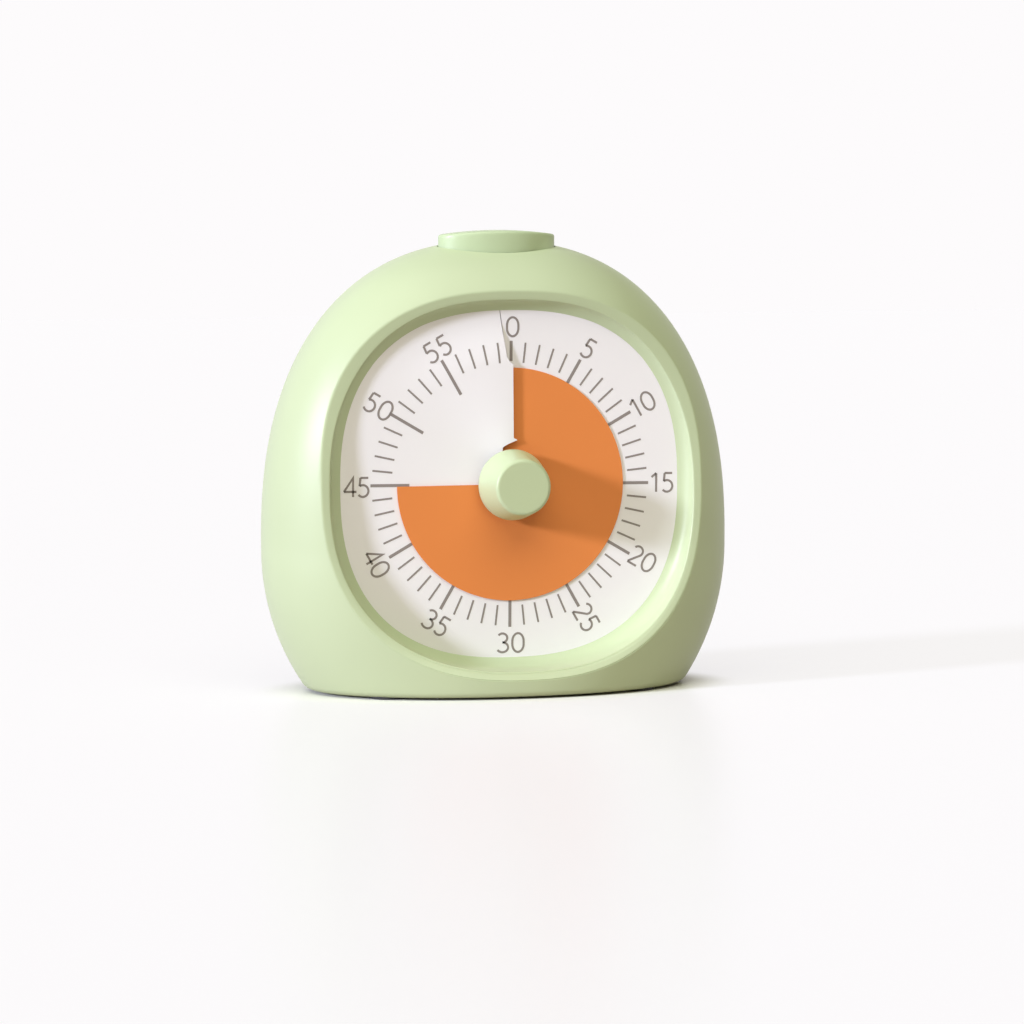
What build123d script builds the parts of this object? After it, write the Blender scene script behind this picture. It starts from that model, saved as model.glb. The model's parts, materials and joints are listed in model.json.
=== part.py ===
from build123d import *
import os
from math import copysign, cos, exp, radians, sin, sqrt, tan

# Visual countdown timer. Millimetres, X to the right, Y from the front to the back, Z up.
# The origin is on the table, under the middle of the body.
# "Behind" is a distance from the dial's front face towards the back, and dial angles run
# clockwise from the zero mark at the top, as the minutes do.

os.makedirs("parts", exist_ok=True)

# ---- driving dimensions -------------------------------------------------------------------

# body: a pebble whose level sections are nearly elliptical
CASE_HALF_WIDTH = 50.7        # at the waist
WAIST_HEIGHT = 30.3
CROWN_HEIGHT = 95.6           # top of the shell
SIDE_FALL = 51.0              # semi-axis of the sides below the waist
FRONT_FALL = 90.0             # the same for the front, which stays steeper
SIDE_EXPONENT = 2.34          # roundness above the waist, seen from the front
DEPTH_EXPONENT = 2.2          # and seen from the side
LEVEL_EXPONENT = 2.05         # squareness of the level section at the waist
CROWN_EXPONENT = 2.5          # and at the crown, where the shoulders are fuller
CASE_DEPTH = 46.8             # front lip to flat back
BACK_DEPTH = 20.5             # middle of the pebble to the flat back
WAIST_SWELL = 1.2             # the waist stands this far in front of the lip
CASE_HALF_DEPTH = CASE_DEPTH - BACK_DEPTH + WAIST_SWELL
CASE_BOTTOM = 0.5             # the feet hold the case this high
BASE_EDGE = 1.2               # round edge under the body
WALL = 2.2
SEAM_BEHIND = 24.2            # joint between front and rear case

# dial opening: rounded squares concentric with the dial
DIAL_HEIGHT = 44.3
DIAL_BEHIND_FRONT = 12.8      # dial face behind the front lip
SQUIRCLE_EXPONENT = 2.45
OPENING_HALF = 36.65          # at the dial
RIM_HALF_WIDTH = 41.3         # outer edge of the rim's land
RIM_HALF_HEIGHT = 40.5
LAND_WIDTH = 1.65
RIM_RAISE = 0.3               # centre of the rim above the centre of the dial
FLARE_DEPTH = 1.1             # how fast the funnel opens

# dial and disc
SHEET = 0.5
SEAT_GAP = 0.02               # between the sheet and the wall in front of it
DIAL_MARGIN = 1.1             # the sheet reaches this far behind the front wall
DIAL_HOLE_RADIUS = 8.0
DISC_SHEET = 0.3
DISC_RADIUS = 24.6
DISC_GAP = 0.1                # between disc and dial, above and below
LIP_RISE = 1.0                # lift of the dial's left lip at the slit
LIP_START = 300               # the lip starts to rise here, in degrees
LIP_FADE_START = 26.0         # radii between which the lip settles to the sheet again
LIP_FADE_END = 35.5
SLIT_WIDTH = 0.16
SHOWN_ANGLE = 270             # 45 minutes

# spindle and knob
SPINDLE_RADIUS = 2.0
RUNNING = 0.05                # radial clearance of a shaft in its bearing
KNOB_BASE_RADIUS = 7.5
KNOB_TIP_RADIUS = 5.95
KNOB_FRONT = 11.3             # knob face in front of the dial
KNOB_GAP = 1.9                # knob's skirt in front of the dial
KNOB_EDGE = 0.9
KNOB_WALL = 1.5
HUB_RADIUS = 4.0

# stop ring, which gives the knob one whole turn between its two stops
STOP_FRONT = 3.9              # behind the dial
STOP_DEPTH = 3.0
STOP_WEB = 0.8
STOP_INNER_RADIUS = 6.2
STOP_OUTER_RADIUS = 8.2
LUG_ARC = 30
STOP_TRAVEL = 180             # each of the two stages
LUG_CENTRE = 45               # at the pose with 45 minutes shown
STOP_SLACK = 0.5              # degrees left at each stop

# dial carrier
CARRIER_HALF = 37.2
CARRIER_FRONT = 2.0
CARRIER_PLATE = 1.6
CARRIER_RIM = 2.0
CUP_RADIUS = 10.4
CUP_WALL = 1.4
EAR_X = 27.4
EAR_Z = 31.6
EAR_RADIUS = 2.2
EAR_POST_RADIUS = 1.9
EAR_FRONT = 2.3

# movement
MOVEMENT_FRONT = 7.2          # behind the dial
MOVEMENT_WALL = 1.2
MOVEMENT_SPLIT = 12.9
MOVEMENT_BACK = 18.3
MOVEMENT_LEFT = -23.5         # from the dial's axis
MOVEMENT_RIGHT = 14.5
MOVEMENT_LOW = -21.0
MOVEMENT_HIGH = 14.0
GEAR_MODULE = 0.4
DRIVE_TEETH = 48
TRANSFER_PINION_TEETH = 12
TRANSFER_WHEEL_TEETH = 40
MOTOR_PINION_TEETH = 10
DRIVE_FACE = 1.2
DRIVE_FRONT = 9.3
TRANSFER_FRONT = 12.3
ARBOR_RADIUS = 0.8
MOTOR_RADIUS = 7.5
MOTOR_FRONT = 13.9
MOTOR_LENGTH = 3.0
MOTOR_SHAFT_RADIUS = 0.6

# top button
BUTTON_HALF_WIDTH = 12.65
BUTTON_HALF_DEPTH = 6.3
BUTTON_TOP = 97.8
BUTTON_BEHIND = 11.0
BUTTON_DOME = 80.0
BUTTON_GAP = 0.3
BUTTON_FLANGE = 1.4
BUTTON_TRAVEL = 1.2
BUTTON_SKIRT = 88.8           # top of the flange, under the shell
BUTTON_FOOT = 87.6
BUTTON_WALL = 1.5
BUTTON_FACE = 2.0             # thickness under the thumb
BUTTON_EDGE = 0.6
BUTTON_STEM_RADIUS = 1.6
BUTTON_SCREW_X = 8.6
SMALL_SHANK = 0.68
TACT_HALF = 2.8

# power and electronics
CELL_RADIUS = 5.25            # two AAA cells
CELL_LENGTH = 44.5
CELL_SPACING = 0.5            # between the two cells
BAY_HALF = 25.2
BAY_GAP = 0.3
BAY_WALL = 1.2
BAY_LIFT = 0.35               # between the bay and the front case's floor
DOOR_THICKNESS = 1.8
DOOR_GAP = 0.2
BOARD_BEHIND = 25.6
BOARD_THICKNESS = 1.2
BOARD_HALF = 16.0
BOARD_LOW = 36.0
BOARD_HIGH = 78.0

SCREW_RADIUS = 1.1
SMALL_SCREW_RADIUS = 0.9
PILOT = 0.02                  # a screw's hole is wider than its shank by this radius
LEAD_RADIUS = 0.55

# ---- places worked out from them ----------------------------------------------------------

MID_Y = CASE_DEPTH / 2 - BACK_DEPTH
CELL_PITCH = 2 * CELL_RADIUS + CELL_SPACING
CELL_LOW = CASE_BOTTOM + WALL + BAY_LIFT + BAY_WALL + BAY_GAP + CELL_RADIUS      # lower cell's axis
FRONT_Y = -CASE_DEPTH / 2
BACK_Y = CASE_DEPTH / 2
DIAL_Y = FRONT_Y + DIAL_BEHIND_FRONT
SEAM_Y = DIAL_Y + SEAM_BEHIND
BUTTON_Y = DIAL_Y + BUTTON_BEHIND
FAR = 80.0                    # longer than any piece
OUTLINE_POINTS = 24           # of a rounded square
LOW_RINGS = 3                 # level sections below the waist of the pebble
HIGH_RINGS = 10               # and above it, closer together towards the crown
LAST_RING = 85.6              # degrees up the crown's quarter turn

STEM_END = BUTTON_FOOT - 0.6
PLUNGER_TOP = STEM_END - BUTTON_TRAVEL - 0.1
TACT_TOP = PLUNGER_TOP - 0.9
TACT_LOW = TACT_TOP - 3.2
BUTTON_BOARD_LOW = TACT_LOW - 1.0

# ---- helpers ------------------------------------------------------------------------------


def smooth(t):
    """Smooth step from 0 to 1."""
    t = min(max(t, 0.0), 1.0)
    return t * t * (3 - 2 * t)


def half_section(height, half, fall, exponent, inset):
    """Half-width or half-depth of the pebble at a height."""
    size = half - inset
    if height < WAIST_HEIGHT:
        drop = (WAIST_HEIGHT - height) / fall
        return size * sqrt(1 - drop**2)
    rise = (height - WAIST_HEIGHT) / (CROWN_HEIGHT - inset - WAIST_HEIGHT)
    return size * max(1 - rise**exponent, 0.0) ** (1 / exponent)


def half_width(height, inset=0.0):
    return half_section(height, CASE_HALF_WIDTH, SIDE_FALL, SIDE_EXPONENT, inset)


def half_depth(height, inset=0.0):
    return half_section(height, CASE_HALF_DEPTH, FRONT_FALL, DEPTH_EXPONENT, inset)


def level_exponent(height):
    rise = max(height - WAIST_HEIGHT, 0) / (CROWN_HEIGHT - WAIST_HEIGHT)
    return LEVEL_EXPONENT + (CROWN_EXPONENT - LEVEL_EXPONENT) * rise


def squircle(half_x, half_z, exponent, raised=0.0):
    """Rounded square or rounded oval as a face: a superellipse."""
    points = []
    for k in range(OUTLINE_POINTS):
        c = cos(radians(360 / OUTLINE_POINTS * k))
        s = sin(radians(360 / OUTLINE_POINTS * k))
        x = copysign(half_x * abs(c) ** (2 / exponent), c)
        z = copysign(half_z * abs(s) ** (2 / exponent), s)
        points.append((x, z + raised))
    return make_face(Spline(points, periodic=True))


def pebble(inset, bottom):
    """Solid pebble, smaller by the inset and flat at the bottom."""
    crown = CROWN_HEIGHT - inset
    heights = [bottom + (WAIST_HEIGHT - bottom) * k / LOW_RINGS for k in range(LOW_RINGS + 1)]
    for k in range(1, HIGH_RINGS + 1):
        heights.append(WAIST_HEIGHT + (crown - WAIST_HEIGHT) * sin(radians(LAST_RING / HIGH_RINGS * k)))
    rings = []
    for height in heights:
        ring = squircle(half_width(height, inset), half_depth(height, inset), level_exponent(height))
        rings.append(Plane((0, MID_Y, height)) * ring)
    return loft(rings)


def dial_square(half_x, half_z=None, raised=0.0):
    """Rounded square about the dial's centre."""
    return squircle(half_x, half_z or half_x, SQUIRCLE_EXPONENT, raised)


def dial_plane(behind):
    """Plane parallel to the dial, seen from the front: X right, Y up."""
    return Plane((0, DIAL_Y + behind, DIAL_HEIGHT), x_dir=(1, 0, 0), z_dir=(0, -1, 0))


def slab(face, front, back):
    """A flat face about the dial's axis, made solid between two depths behind the dial."""
    return extrude(dial_plane(back) * face, back - front)


def rod(x, z, radius, front, back):
    """Cylinder along Y, placed from the dial's centre."""
    return slab(Pos(x, z) * Circle(radius), front, back)


def tube(x, z, outer, inner, front, back):
    return slab(Pos(x, z) * (Circle(outer) - Circle(inner)), front, back)


def clock_point(radius, angle):
    """Point at a dial angle, in degrees clockwise from the top."""
    return (radius * sin(radians(angle)), radius * cos(radians(angle)))


def sector(inner, outer, start, end):
    """Ring sector between two dial angles."""
    turn = end - start
    outside = CenterArc((0, 0), outer, 90 - end, turn)
    inside = CenterArc((0, 0), inner, 90 - end, turn)
    first = Line(clock_point(inner, start), clock_point(outer, start))
    last = Line(clock_point(inner, end), clock_point(outer, end))
    return make_face([outside, inside, first, last])


def block(x0, x1, y0, y1, z0, z1):
    """Box between two corners."""
    return Pos((x0 + x1) / 2, (y0 + y1) / 2, (z0 + z1) / 2) * Box(x1 - x0, y1 - y0, z1 - z0)


def screw(x, z, head_front, length, head_radius=2.1, head_height=1.4, shank=SCREW_RADIUS):
    """Pan-head screw driven towards the front; head_front is where the head seats."""
    head = fillet(rod(x, z, head_radius, head_front, head_front + head_height).edges()
                  .group_by(Axis.Y)[-1], 0.5)
    recess = rod(x, z, head_radius * 0.42, head_front + head_height - 0.7, head_front + head_height)
    return head - recess + rod(x, z, shank, head_front - length, head_front)


def lead(points, radius=LEAD_RADIUS):
    """Insulated wire along straight runs joined by arcs."""
    corners = []
    for before, at, after in zip(points, points[1:], points[2:]):
        back = Vector(*before) - Vector(*at)
        on = Vector(*after) - Vector(*at)
        turn = 180 - back.get_angle(on)
        corners.append(0.45 * min(back.length, on.length) / tan(radians(turn / 2)))
    print("lead bend radii:", [round(corner, 1) for corner in corners])
    path = FilletPolyline(*points, radius=corners)
    start = Vector(*points[0])
    section = Plane(start, z_dir=Vector(*points[1]) - start) * Circle(radius)
    return sweep(section, path)


def keep(name, *solids):
    """Write one named piece, as one solid or a group of separate ones."""
    shape = solids[0] if len(solids) == 1 else Compound(children=list(solids))
    shape.label = name
    export_step(shape, f"parts/{name}.step")


# ---- body ---------------------------------------------------------------------------------

case_solid = pebble(0.0, CASE_BOTTOM)
case_solid = fillet(case_solid.edges().group_by(Axis.Z)[0], BASE_EDGE)
case_room = pebble(WALL, CASE_BOTTOM + WALL)


def land_depth(height):
    """Y of the rim's land: where the rim's outline meets the pebble at this height."""
    centre = DIAL_HEIGHT + RIM_RAISE
    reach = min(abs(height - centre) / RIM_HALF_HEIGHT, 1.0)
    rim_x = RIM_HALF_WIDTH * (1 - reach**SQUIRCLE_EXPONENT) ** (1 / SQUIRCLE_EXPONENT)
    exponent = level_exponent(height)
    share = 1 - (rim_x / half_width(height)) ** exponent
    return MID_Y - half_depth(height) * share ** (1 / exponent)


def saddle():
    """Everything in front of the rim's land, which is straight across and curved upwards."""
    low = DIAL_HEIGHT + RIM_RAISE - RIM_HALF_HEIGHT
    high = low + 2 * RIM_HALF_HEIGHT
    shares = (0.01, 0.07, 0.18, 0.34, 0.5, 0.66, 0.82, 0.93, 0.99)
    curve = [(land_depth(low + (high - low) * share), low + (high - low) * share) for share in shares]
    spline = Spline(curve)
    below = (curve[0][0] - 6, low - 4)
    above = (curve[-1][0] - 5, high + 6)
    outline = [spline, Line(curve[0], below), Line(below, (-FAR, low - 4)),
               Line((-FAR, low - 4), (-FAR, high + 6)), Line((-FAR, high + 6), above),
               Line(above, curve[-1])]
    return extrude(Plane.YZ * make_face(outline), FAR, both=True)


def funnel():
    """The opening, which flares from the dial to the inner edge of the land."""
    flare_x = RIM_HALF_WIDTH - LAND_WIDTH - OPENING_HALF
    flare_z = RIM_HALF_HEIGHT - LAND_WIDTH - OPENING_HALF
    rings = []
    for forward in (-0.6, 0.0, 0.7, 1.6, 3.0, 6.0, 14.0):
        share = 1 - exp(-max(forward, 0) / FLARE_DEPTH)
        ring = dial_square(OPENING_HALF + flare_x * share, OPENING_HALF + flare_z * share, RIM_RAISE * share)
        rings.append(dial_plane(-forward) * ring)
    return loft(rings)


case_hollow = case_room & block(-FAR, FAR, DIAL_Y - SEAT_GAP, FAR, 0, 2 * FAR)
button_hole = extrude(Plane((0, BUTTON_Y, CROWN_HEIGHT - 12)) *
                      Ellipse(BUTTON_HALF_WIDTH + BUTTON_GAP, BUTTON_HALF_DEPTH + BUTTON_GAP), 20)
seam_front = block(-FAR, FAR, -FAR, SEAM_Y, 0, 2 * FAR)
seam_back = block(-FAR, FAR, SEAM_Y, BACK_Y, 0, 2 * FAR)

# case bosses: the long screws run from the back into the front case
SEAM = SEAM_BEHIND
LOW_BOSS = (34.5, 14.5 - DIAL_HEIGHT)
HIGH_BOSS = (31.0, 70.0 - DIAL_HEIGHT)
BOSS_RADIUS = 3.0
BOSS_ROOT = -0.5              # bosses and ears grow out of the wall in front of the dial
HIGH_BOSS_FRONT = 1.3         # the high ones start behind the dial, and a rib ties each to the shell
BOSS_RIB = 1.6
PILOT_DEPTH = 10.0
TONGUE = 1.0                  # thickness of the rear case's tongue inside the front case
TONGUE_GAP = 0.15
TONGUE_REACH = 1.6            # in front of the seam
RIB_BACK = SEAM_Y - TONGUE_REACH - TONGUE_GAP
low_bosses = [(side * LOW_BOSS[0], LOW_BOSS[1]) for side in (-1, 1)]
high_bosses = [(side * HIGH_BOSS[0], HIGH_BOSS[1]) for side in (-1, 1)]
ears = [(side * EAR_X, up * EAR_Z) for side in (-1, 1) for up in (-1, 1)]

for x, z in low_bosses:
    case_hollow -= rod(x, z, BOSS_RADIUS, BOSS_ROOT, SEAM)
for x, z in high_bosses:
    case_hollow -= rod(x, z, BOSS_RADIUS, HIGH_BOSS_FRONT, SEAM)
    inner, outer = sorted((x, copysign(FAR, x)))
    height = DIAL_HEIGHT + z
    case_hollow -= block(inner, outer, DIAL_Y + HIGH_BOSS_FRONT, RIB_BACK,
                         height - BOSS_RIB / 2, height + BOSS_RIB / 2)
for x, z in ears:
    case_hollow -= rod(x, z, EAR_POST_RADIUS, BOSS_ROOT, EAR_FRONT)

# a bar from wall to wall carries the button's board
BAR_HALF_DEPTH = 2.2
BAR_THICKNESS = 2.4
BAR_PILOT = 5.0
case_hollow -= block(-FAR, FAR, BUTTON_Y - BAR_HALF_DEPTH, BUTTON_Y + BAR_HALF_DEPTH,
                     BUTTON_BOARD_LOW - BAR_THICKNESS, BUTTON_BOARD_LOW)

front_case = (case_solid & seam_front) - saddle() - funnel() - case_hollow - button_hole
for x, z in ears:
    front_case -= rod(x, z, SMALL_SCREW_RADIUS + PILOT, 0, EAR_FRONT)
for x, z in low_bosses + high_bosses:
    front_case -= rod(x, z, SCREW_RADIUS + PILOT, SEAM - PILOT_DEPTH, SEAM)
for side in (-1, 1):
    front_case -= Pos(side * BUTTON_SCREW_X, BUTTON_Y, BUTTON_BOARD_LOW) * Cylinder(
        SMALL_SHANK + PILOT, 2 * BAR_PILOT)

# recesses for the feet
FOOT_RADIUS = 4.0
FOOT_HEIGHT = 1.1
FOOT_EDGE = 0.3
FOOT_GAP = 0.1
FOOT_X = 27.0
FRONT_FOOT_Y = -11.5
BACK_FOOT_Y = SEAM_Y - 6.0
feet_places = [(side * FOOT_X, y) for side in (-1, 1) for y in (FRONT_FOOT_Y, BACK_FOOT_Y)]
feet = []
for x, y in feet_places:
    pad = Pos(x, y, FOOT_HEIGHT / 2) * Cylinder(FOOT_RADIUS, FOOT_HEIGHT)
    feet.append(fillet(pad.edges().group_by(Axis.Z)[0], FOOT_EDGE))
    front_case -= Pos(x, y, FOOT_HEIGHT / 2) * Cylinder(FOOT_RADIUS + FOOT_GAP, FOOT_HEIGHT)

# ---- rear case ----------------------------------------------------------------------------

BAY_FRONT = BACK_Y - DOOR_THICKNESS - BAY_GAP - 2 * CELL_RADIUS - BAY_GAP
CELL_Y = BAY_FRONT + BAY_GAP + CELL_RADIUS
BAY_LOW = CELL_LOW - CELL_RADIUS - BAY_GAP
BAY_HIGH = CELL_LOW + CELL_PITCH + CELL_RADIUS + BAY_GAP
DOOR_HALF = BAY_HALF + 0.7
DOOR_LOW = BAY_LOW - 0.4
DOOR_HIGH = BAY_HIGH + 0.9
HINGE_RADIUS = 0.9
HINGE_Y = BACK_Y - 1.3
HINGE_Z = DOOR_LOW + 0.2
HINGE_HALF = 18.0
HINGE_GAP = 0.1               # round the door's bead
HINGE_ROOM = 1.3              # the door's foot swings this far round the hinge's axis
SOUND_SWITCH_Z = 68.0
BUZZER_Z = 50.0
SOUND_HOLE_RADIUS = 0.7
WELL_RADIUS = 2.5             # wells for the heads of the case screws
WELL_FLOOR = 2.4              # behind the seam
SHANK_GAP = 0.15
BOSS_REACH = 8.0



def hinge_rod(radius, half):
    """Cylinder along the door's hinge."""
    return Pos(0, HINGE_Y, HINGE_Z) * Rot(0, 90, 0) * Cylinder(radius, 2 * half)


rear_case = (case_solid - case_room) & seam_back
tongue_outside = WALL + TONGUE_GAP
tongue = pebble(tongue_outside, CASE_BOTTOM + tongue_outside)
tongue -= pebble(tongue_outside + TONGUE, CASE_BOTTOM + tongue_outside + TONGUE)
rear_case += tongue & block(-FAR, FAR, SEAM_Y - TONGUE_REACH, SEAM_Y + TONGUE, 0, 2 * FAR)
rear_case += case_solid & block(-FAR, FAR, BACK_Y - WALL, BACK_Y, 0, 2 * FAR)
bay_shell = block(-BAY_HALF - BAY_WALL, BAY_HALF + BAY_WALL, BAY_FRONT - BAY_WALL, BACK_Y,
                  BAY_LOW - BAY_WALL, BAY_HIGH + BAY_WALL)
rear_case += bay_shell & case_solid & block(-FAR, FAR, -FAR, BACK_Y, CASE_BOTTOM, FAR)
rear_case -= block(-BAY_HALF, BAY_HALF, BAY_FRONT, BACK_Y, BAY_LOW, BAY_HIGH)
rear_case -= block(-DOOR_HALF - DOOR_GAP, DOOR_HALF + DOOR_GAP, BACK_Y - DOOR_THICKNESS - DOOR_GAP,
                   BACK_Y, DOOR_LOW + HINGE_RADIUS, DOOR_HIGH + DOOR_GAP)
rear_case -= block(-DOOR_HALF - DOOR_GAP, DOOR_HALF + DOOR_GAP, HINGE_Y, BACK_Y, HINGE_Z - HINGE_ROOM,
                   DOOR_LOW + HINGE_RADIUS + HINGE_GAP)
rear_case += hinge_rod(HINGE_RADIUS - HINGE_GAP, DOOR_HALF + DOOR_GAP)
rear_case -= hinge_rod(HINGE_RADIUS + HINGE_GAP, HINGE_HALF + DOOR_GAP)
for x, z in low_bosses + high_bosses:
    rear_case += tube(x, z, BOSS_RADIUS, SCREW_RADIUS + SHANK_GAP, SEAM, SEAM + BOSS_REACH) & case_solid
    rear_case -= rod(x, z, SCREW_RADIUS + SHANK_GAP, SEAM - TONGUE_REACH, FAR)
    rear_case -= rod(x, z, WELL_RADIUS, SEAM + WELL_FLOOR, FAR)
    rear_case -= rod(x, z, BOSS_RADIUS + SHANK_GAP, SEAM - TONGUE_REACH, SEAM)

# sound holes in rings, a slot for the sound slider and a notch for a fingertip
sound_holes = [(0, 0)]
for ring_radius, count in ((2.6, 6), (5.2, 12)):
    for k in range(count):
        sound_holes.append(clock_point(ring_radius, 360 / count * k))
for x, z in sound_holes:
    rear_case -= rod(x, z + BUZZER_Z - DIAL_HEIGHT, SOUND_HOLE_RADIUS, SEAM + TONGUE, FAR)
SLIDER_HALF = 2.2
SLIDER_HALF_HEIGHT = 1.2
SLIDER_TRAVEL = 1.8
SLOT_GAP = 0.2
SLOT_HALF = SLIDER_HALF + SLIDER_TRAVEL + SLOT_GAP
SLOT_HALF_HEIGHT = SLIDER_HALF_HEIGHT + SLOT_GAP
DISH_MARGIN = 1.8             # a shallow dish round the slot lets a fingertip reach the slider
DISH_MARGIN_HEIGHT = 1.2
DISH_DEPTH = 0.9
rear_case -= block(-SLOT_HALF, SLOT_HALF, BACK_Y - WALL - 1, BACK_Y, SOUND_SWITCH_Z - SLOT_HALF_HEIGHT,
                   SOUND_SWITCH_Z + SLOT_HALF_HEIGHT)
dish_half = SLOT_HALF + DISH_MARGIN
dish_half_height = SLOT_HALF_HEIGHT + DISH_MARGIN_HEIGHT
rear_case -= block(-dish_half, dish_half, BACK_Y - DISH_DEPTH, BACK_Y, SOUND_SWITCH_Z - dish_half_height,
                   SOUND_SWITCH_Z + dish_half_height)
NOTCH_RADIUS = 4.5
NOTCH_FLOOR = 0.6             # what is left of the wall under the notch
notch = Pos(0, BACK_Y + 2.0, DOOR_HIGH) * Sphere(NOTCH_RADIUS)
rear_case -= notch & block(-FAR, FAR, BACK_Y - WALL + NOTCH_FLOOR, BACK_Y, DOOR_HIGH - DOOR_GAP, FAR)

# posts for the circuit board
POST_INSET = 2.6              # from the board's edges
POST_DROP = 10.0              # from its top edge
POST_RADIUS = 2.0
POST_PILOT_RADIUS = 0.8
BOARD_SCREW_GRIP = 2.6        # length of a board screw in its post
board_posts = [(side * (BOARD_HALF - POST_INSET), z) for side in (-1, 1)
               for z in (BOARD_LOW + POST_INSET, BOARD_HIGH - POST_DROP)]
BOARD_BACK = BOARD_BEHIND + BOARD_THICKNESS
for x, z in board_posts:
    post = tube(x, z - DIAL_HEIGHT, POST_RADIUS, POST_PILOT_RADIUS, BOARD_BACK, BACK_Y - WALL / 2 - DIAL_Y)
    rear_case += post
    rear_case -= rod(x, z - DIAL_HEIGHT, POST_PILOT_RADIUS, BOARD_BACK, BOARD_BACK + BOARD_SCREW_GRIP + 0.4)

# ---- battery door and power ---------------------------------------------------------------

door_plate = block(-DOOR_HALF, DOOR_HALF, BACK_Y - DOOR_THICKNESS, BACK_Y,
                   DOOR_LOW + HINGE_RADIUS + 0.3, DOOR_HIGH)
bead = hinge_rod(HINGE_RADIUS, HINGE_HALF)
strap = block(-HINGE_HALF, HINGE_HALF, HINGE_Y - 0.4, BACK_Y - 0.2, HINGE_Z, DOOR_LOW + HINGE_RADIUS + 1.0)
LATCH_HALF = 4.0
LATCH_REACH = 2.0
LATCH_THICKNESS = 0.8
latch = block(-LATCH_HALF, LATCH_HALF, BACK_Y - DOOR_THICKNESS - LATCH_REACH, BACK_Y - DOOR_THICKNESS,
              BAY_HIGH - 0.4 - LATCH_THICKNESS, BAY_HIGH - 0.4)
battery_door = door_plate + bead + strap + latch
GRIP_HALF = 7.0
GRIP_WIDTH = 0.8              # five grooves for the thumb
GRIP_PITCH = 1.6
GRIP_TOP = 4.6                # under the door's upper edge
for k in range(5):
    groove = DOOR_HIGH - GRIP_TOP - GRIP_PITCH * k
    battery_door -= block(-GRIP_HALF, GRIP_HALF, BACK_Y - GRIP_WIDTH / 2, BACK_Y + 1,
                          groove, groove + GRIP_WIDTH)


def cell(height, flip):
    """AAA cell along X, with its raised positive end."""
    body = fillet(Cylinder(CELL_RADIUS, CELL_LENGTH - NUB_HEIGHT).edges(), 0.4)
    nub = Pos(0, 0, CELL_LENGTH / 2) * Cylinder(NUB_RADIUS, NUB_HEIGHT)
    lying = Rot(0, 90 if flip else -90, 0) * Pos(0, 0, -NUB_HEIGHT / 2) * (body + nub)
    return Pos(SPRING_SHIFT * (1 if flip else -1), CELL_Y, height) * lying


NUB_HEIGHT = 1.0
NUB_RADIUS = 1.9
CONTACT = 0.35                # thickness of the contact strips
CONTACT_ROOM = CONTACT + 0.05
CONTACT_HALF = 4.0
SPRING_LENGTH = 2 * BAY_HALF - CELL_LENGTH - 2 * CONTACT_ROOM
SPRING_SHIFT = (2 * BAY_HALF - CELL_LENGTH) / 2 - CONTACT_ROOM
UPPER_CELL = CELL_LOW + CELL_PITCH
batteries = [cell(CELL_LOW, True), cell(UPPER_CELL, False)]


def coil(radius, wire, length, turns):
    """Compression spring along Z from 0 to its length."""
    line = Helix(pitch=(length - 2 * wire) / turns, height=length - 2 * wire, radius=radius)
    section = Plane(line @ 0, z_dir=line % 0) * Circle(wire)
    return Pos(0, 0, wire) * sweep(section, line, is_frenet=True)


def contact_plate(side, low, high):
    """Nickel strip against the end wall of the bay."""
    inner = BAY_HALF - CONTACT
    x0, x1 = (inner, BAY_HALF) if side > 0 else (-BAY_HALF, -inner)
    return block(x0, x1, CELL_Y - CONTACT_HALF, CELL_Y + CONTACT_HALF, low, high)


TAIL_X = BAY_HALF + BAY_WALL + 1.5
TAIL_SHIFT = 1.3
TAIL_RISE = 1.6
TAIL_HALF = 0.8


def contact_tail(y, height):
    """Solder tail of a contact, through the bay's wall and bent up outside it."""
    through = block(BAY_HALF - 0.1, TAIL_X + LEAD_RADIUS, y - TAIL_HALF, y + TAIL_HALF,
                    height - CONTACT / 2, height + CONTACT / 2)
    upright = block(TAIL_X - LEAD_RADIUS, TAIL_X + LEAD_RADIUS, y - TAIL_HALF, y + TAIL_HALF,
                    height - CONTACT / 2, height + TAIL_RISE)
    return through + upright


# plus contacts face the raised ends; springs press the other ends
tails = [(CELL_Y - TAIL_SHIFT, CELL_LOW), (CELL_Y + TAIL_SHIFT, UPPER_CELL)]
contacts = [contact_plate(-1, BAY_LOW + 1.5, BAY_HIGH - 1.5),
            contact_plate(1, CELL_LOW - CONTACT_HALF, CELL_LOW + CONTACT_HALF) + contact_tail(*tails[0]),
            contact_plate(1, UPPER_CELL - CONTACT_HALF, UPPER_CELL + CONTACT_HALF) + contact_tail(*tails[1])]
TAIL_GAP = 0.2
for y, height in tails:
    rear_case -= block(BAY_HALF - 1, BAY_HALF + BAY_WALL + 0.2,
                       y - TAIL_HALF - TAIL_GAP, y + TAIL_HALF + TAIL_GAP,
                       height - CONTACT / 2 - TAIL_GAP, height + CONTACT / 2 + TAIL_GAP)
spring_core = coil(2.6, 0.3, SPRING_LENGTH, 4)
battery_springs = [Pos(-BAY_HALF + CONTACT_ROOM, CELL_Y, CELL_LOW) * Rot(0, 90, 0) * spring_core,
                   Pos(BAY_HALF - CONTACT_ROOM, CELL_Y, UPPER_CELL) * Rot(0, -90, 0) * spring_core]

# ---- dial plate, carrier and disc ---------------------------------------------------------

DIAL_HALF = OPENING_HALF + DIAL_MARGIN


def lip_height(radius, angle):
    """Lift of the dial's left lip above the flat sheet."""
    along = smooth((angle - LIP_START) / (360 - LIP_START))
    fade = 1 - smooth((radius - LIP_FADE_START) / (LIP_FADE_END - LIP_FADE_START))
    return LIP_RISE * along * fade


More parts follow.
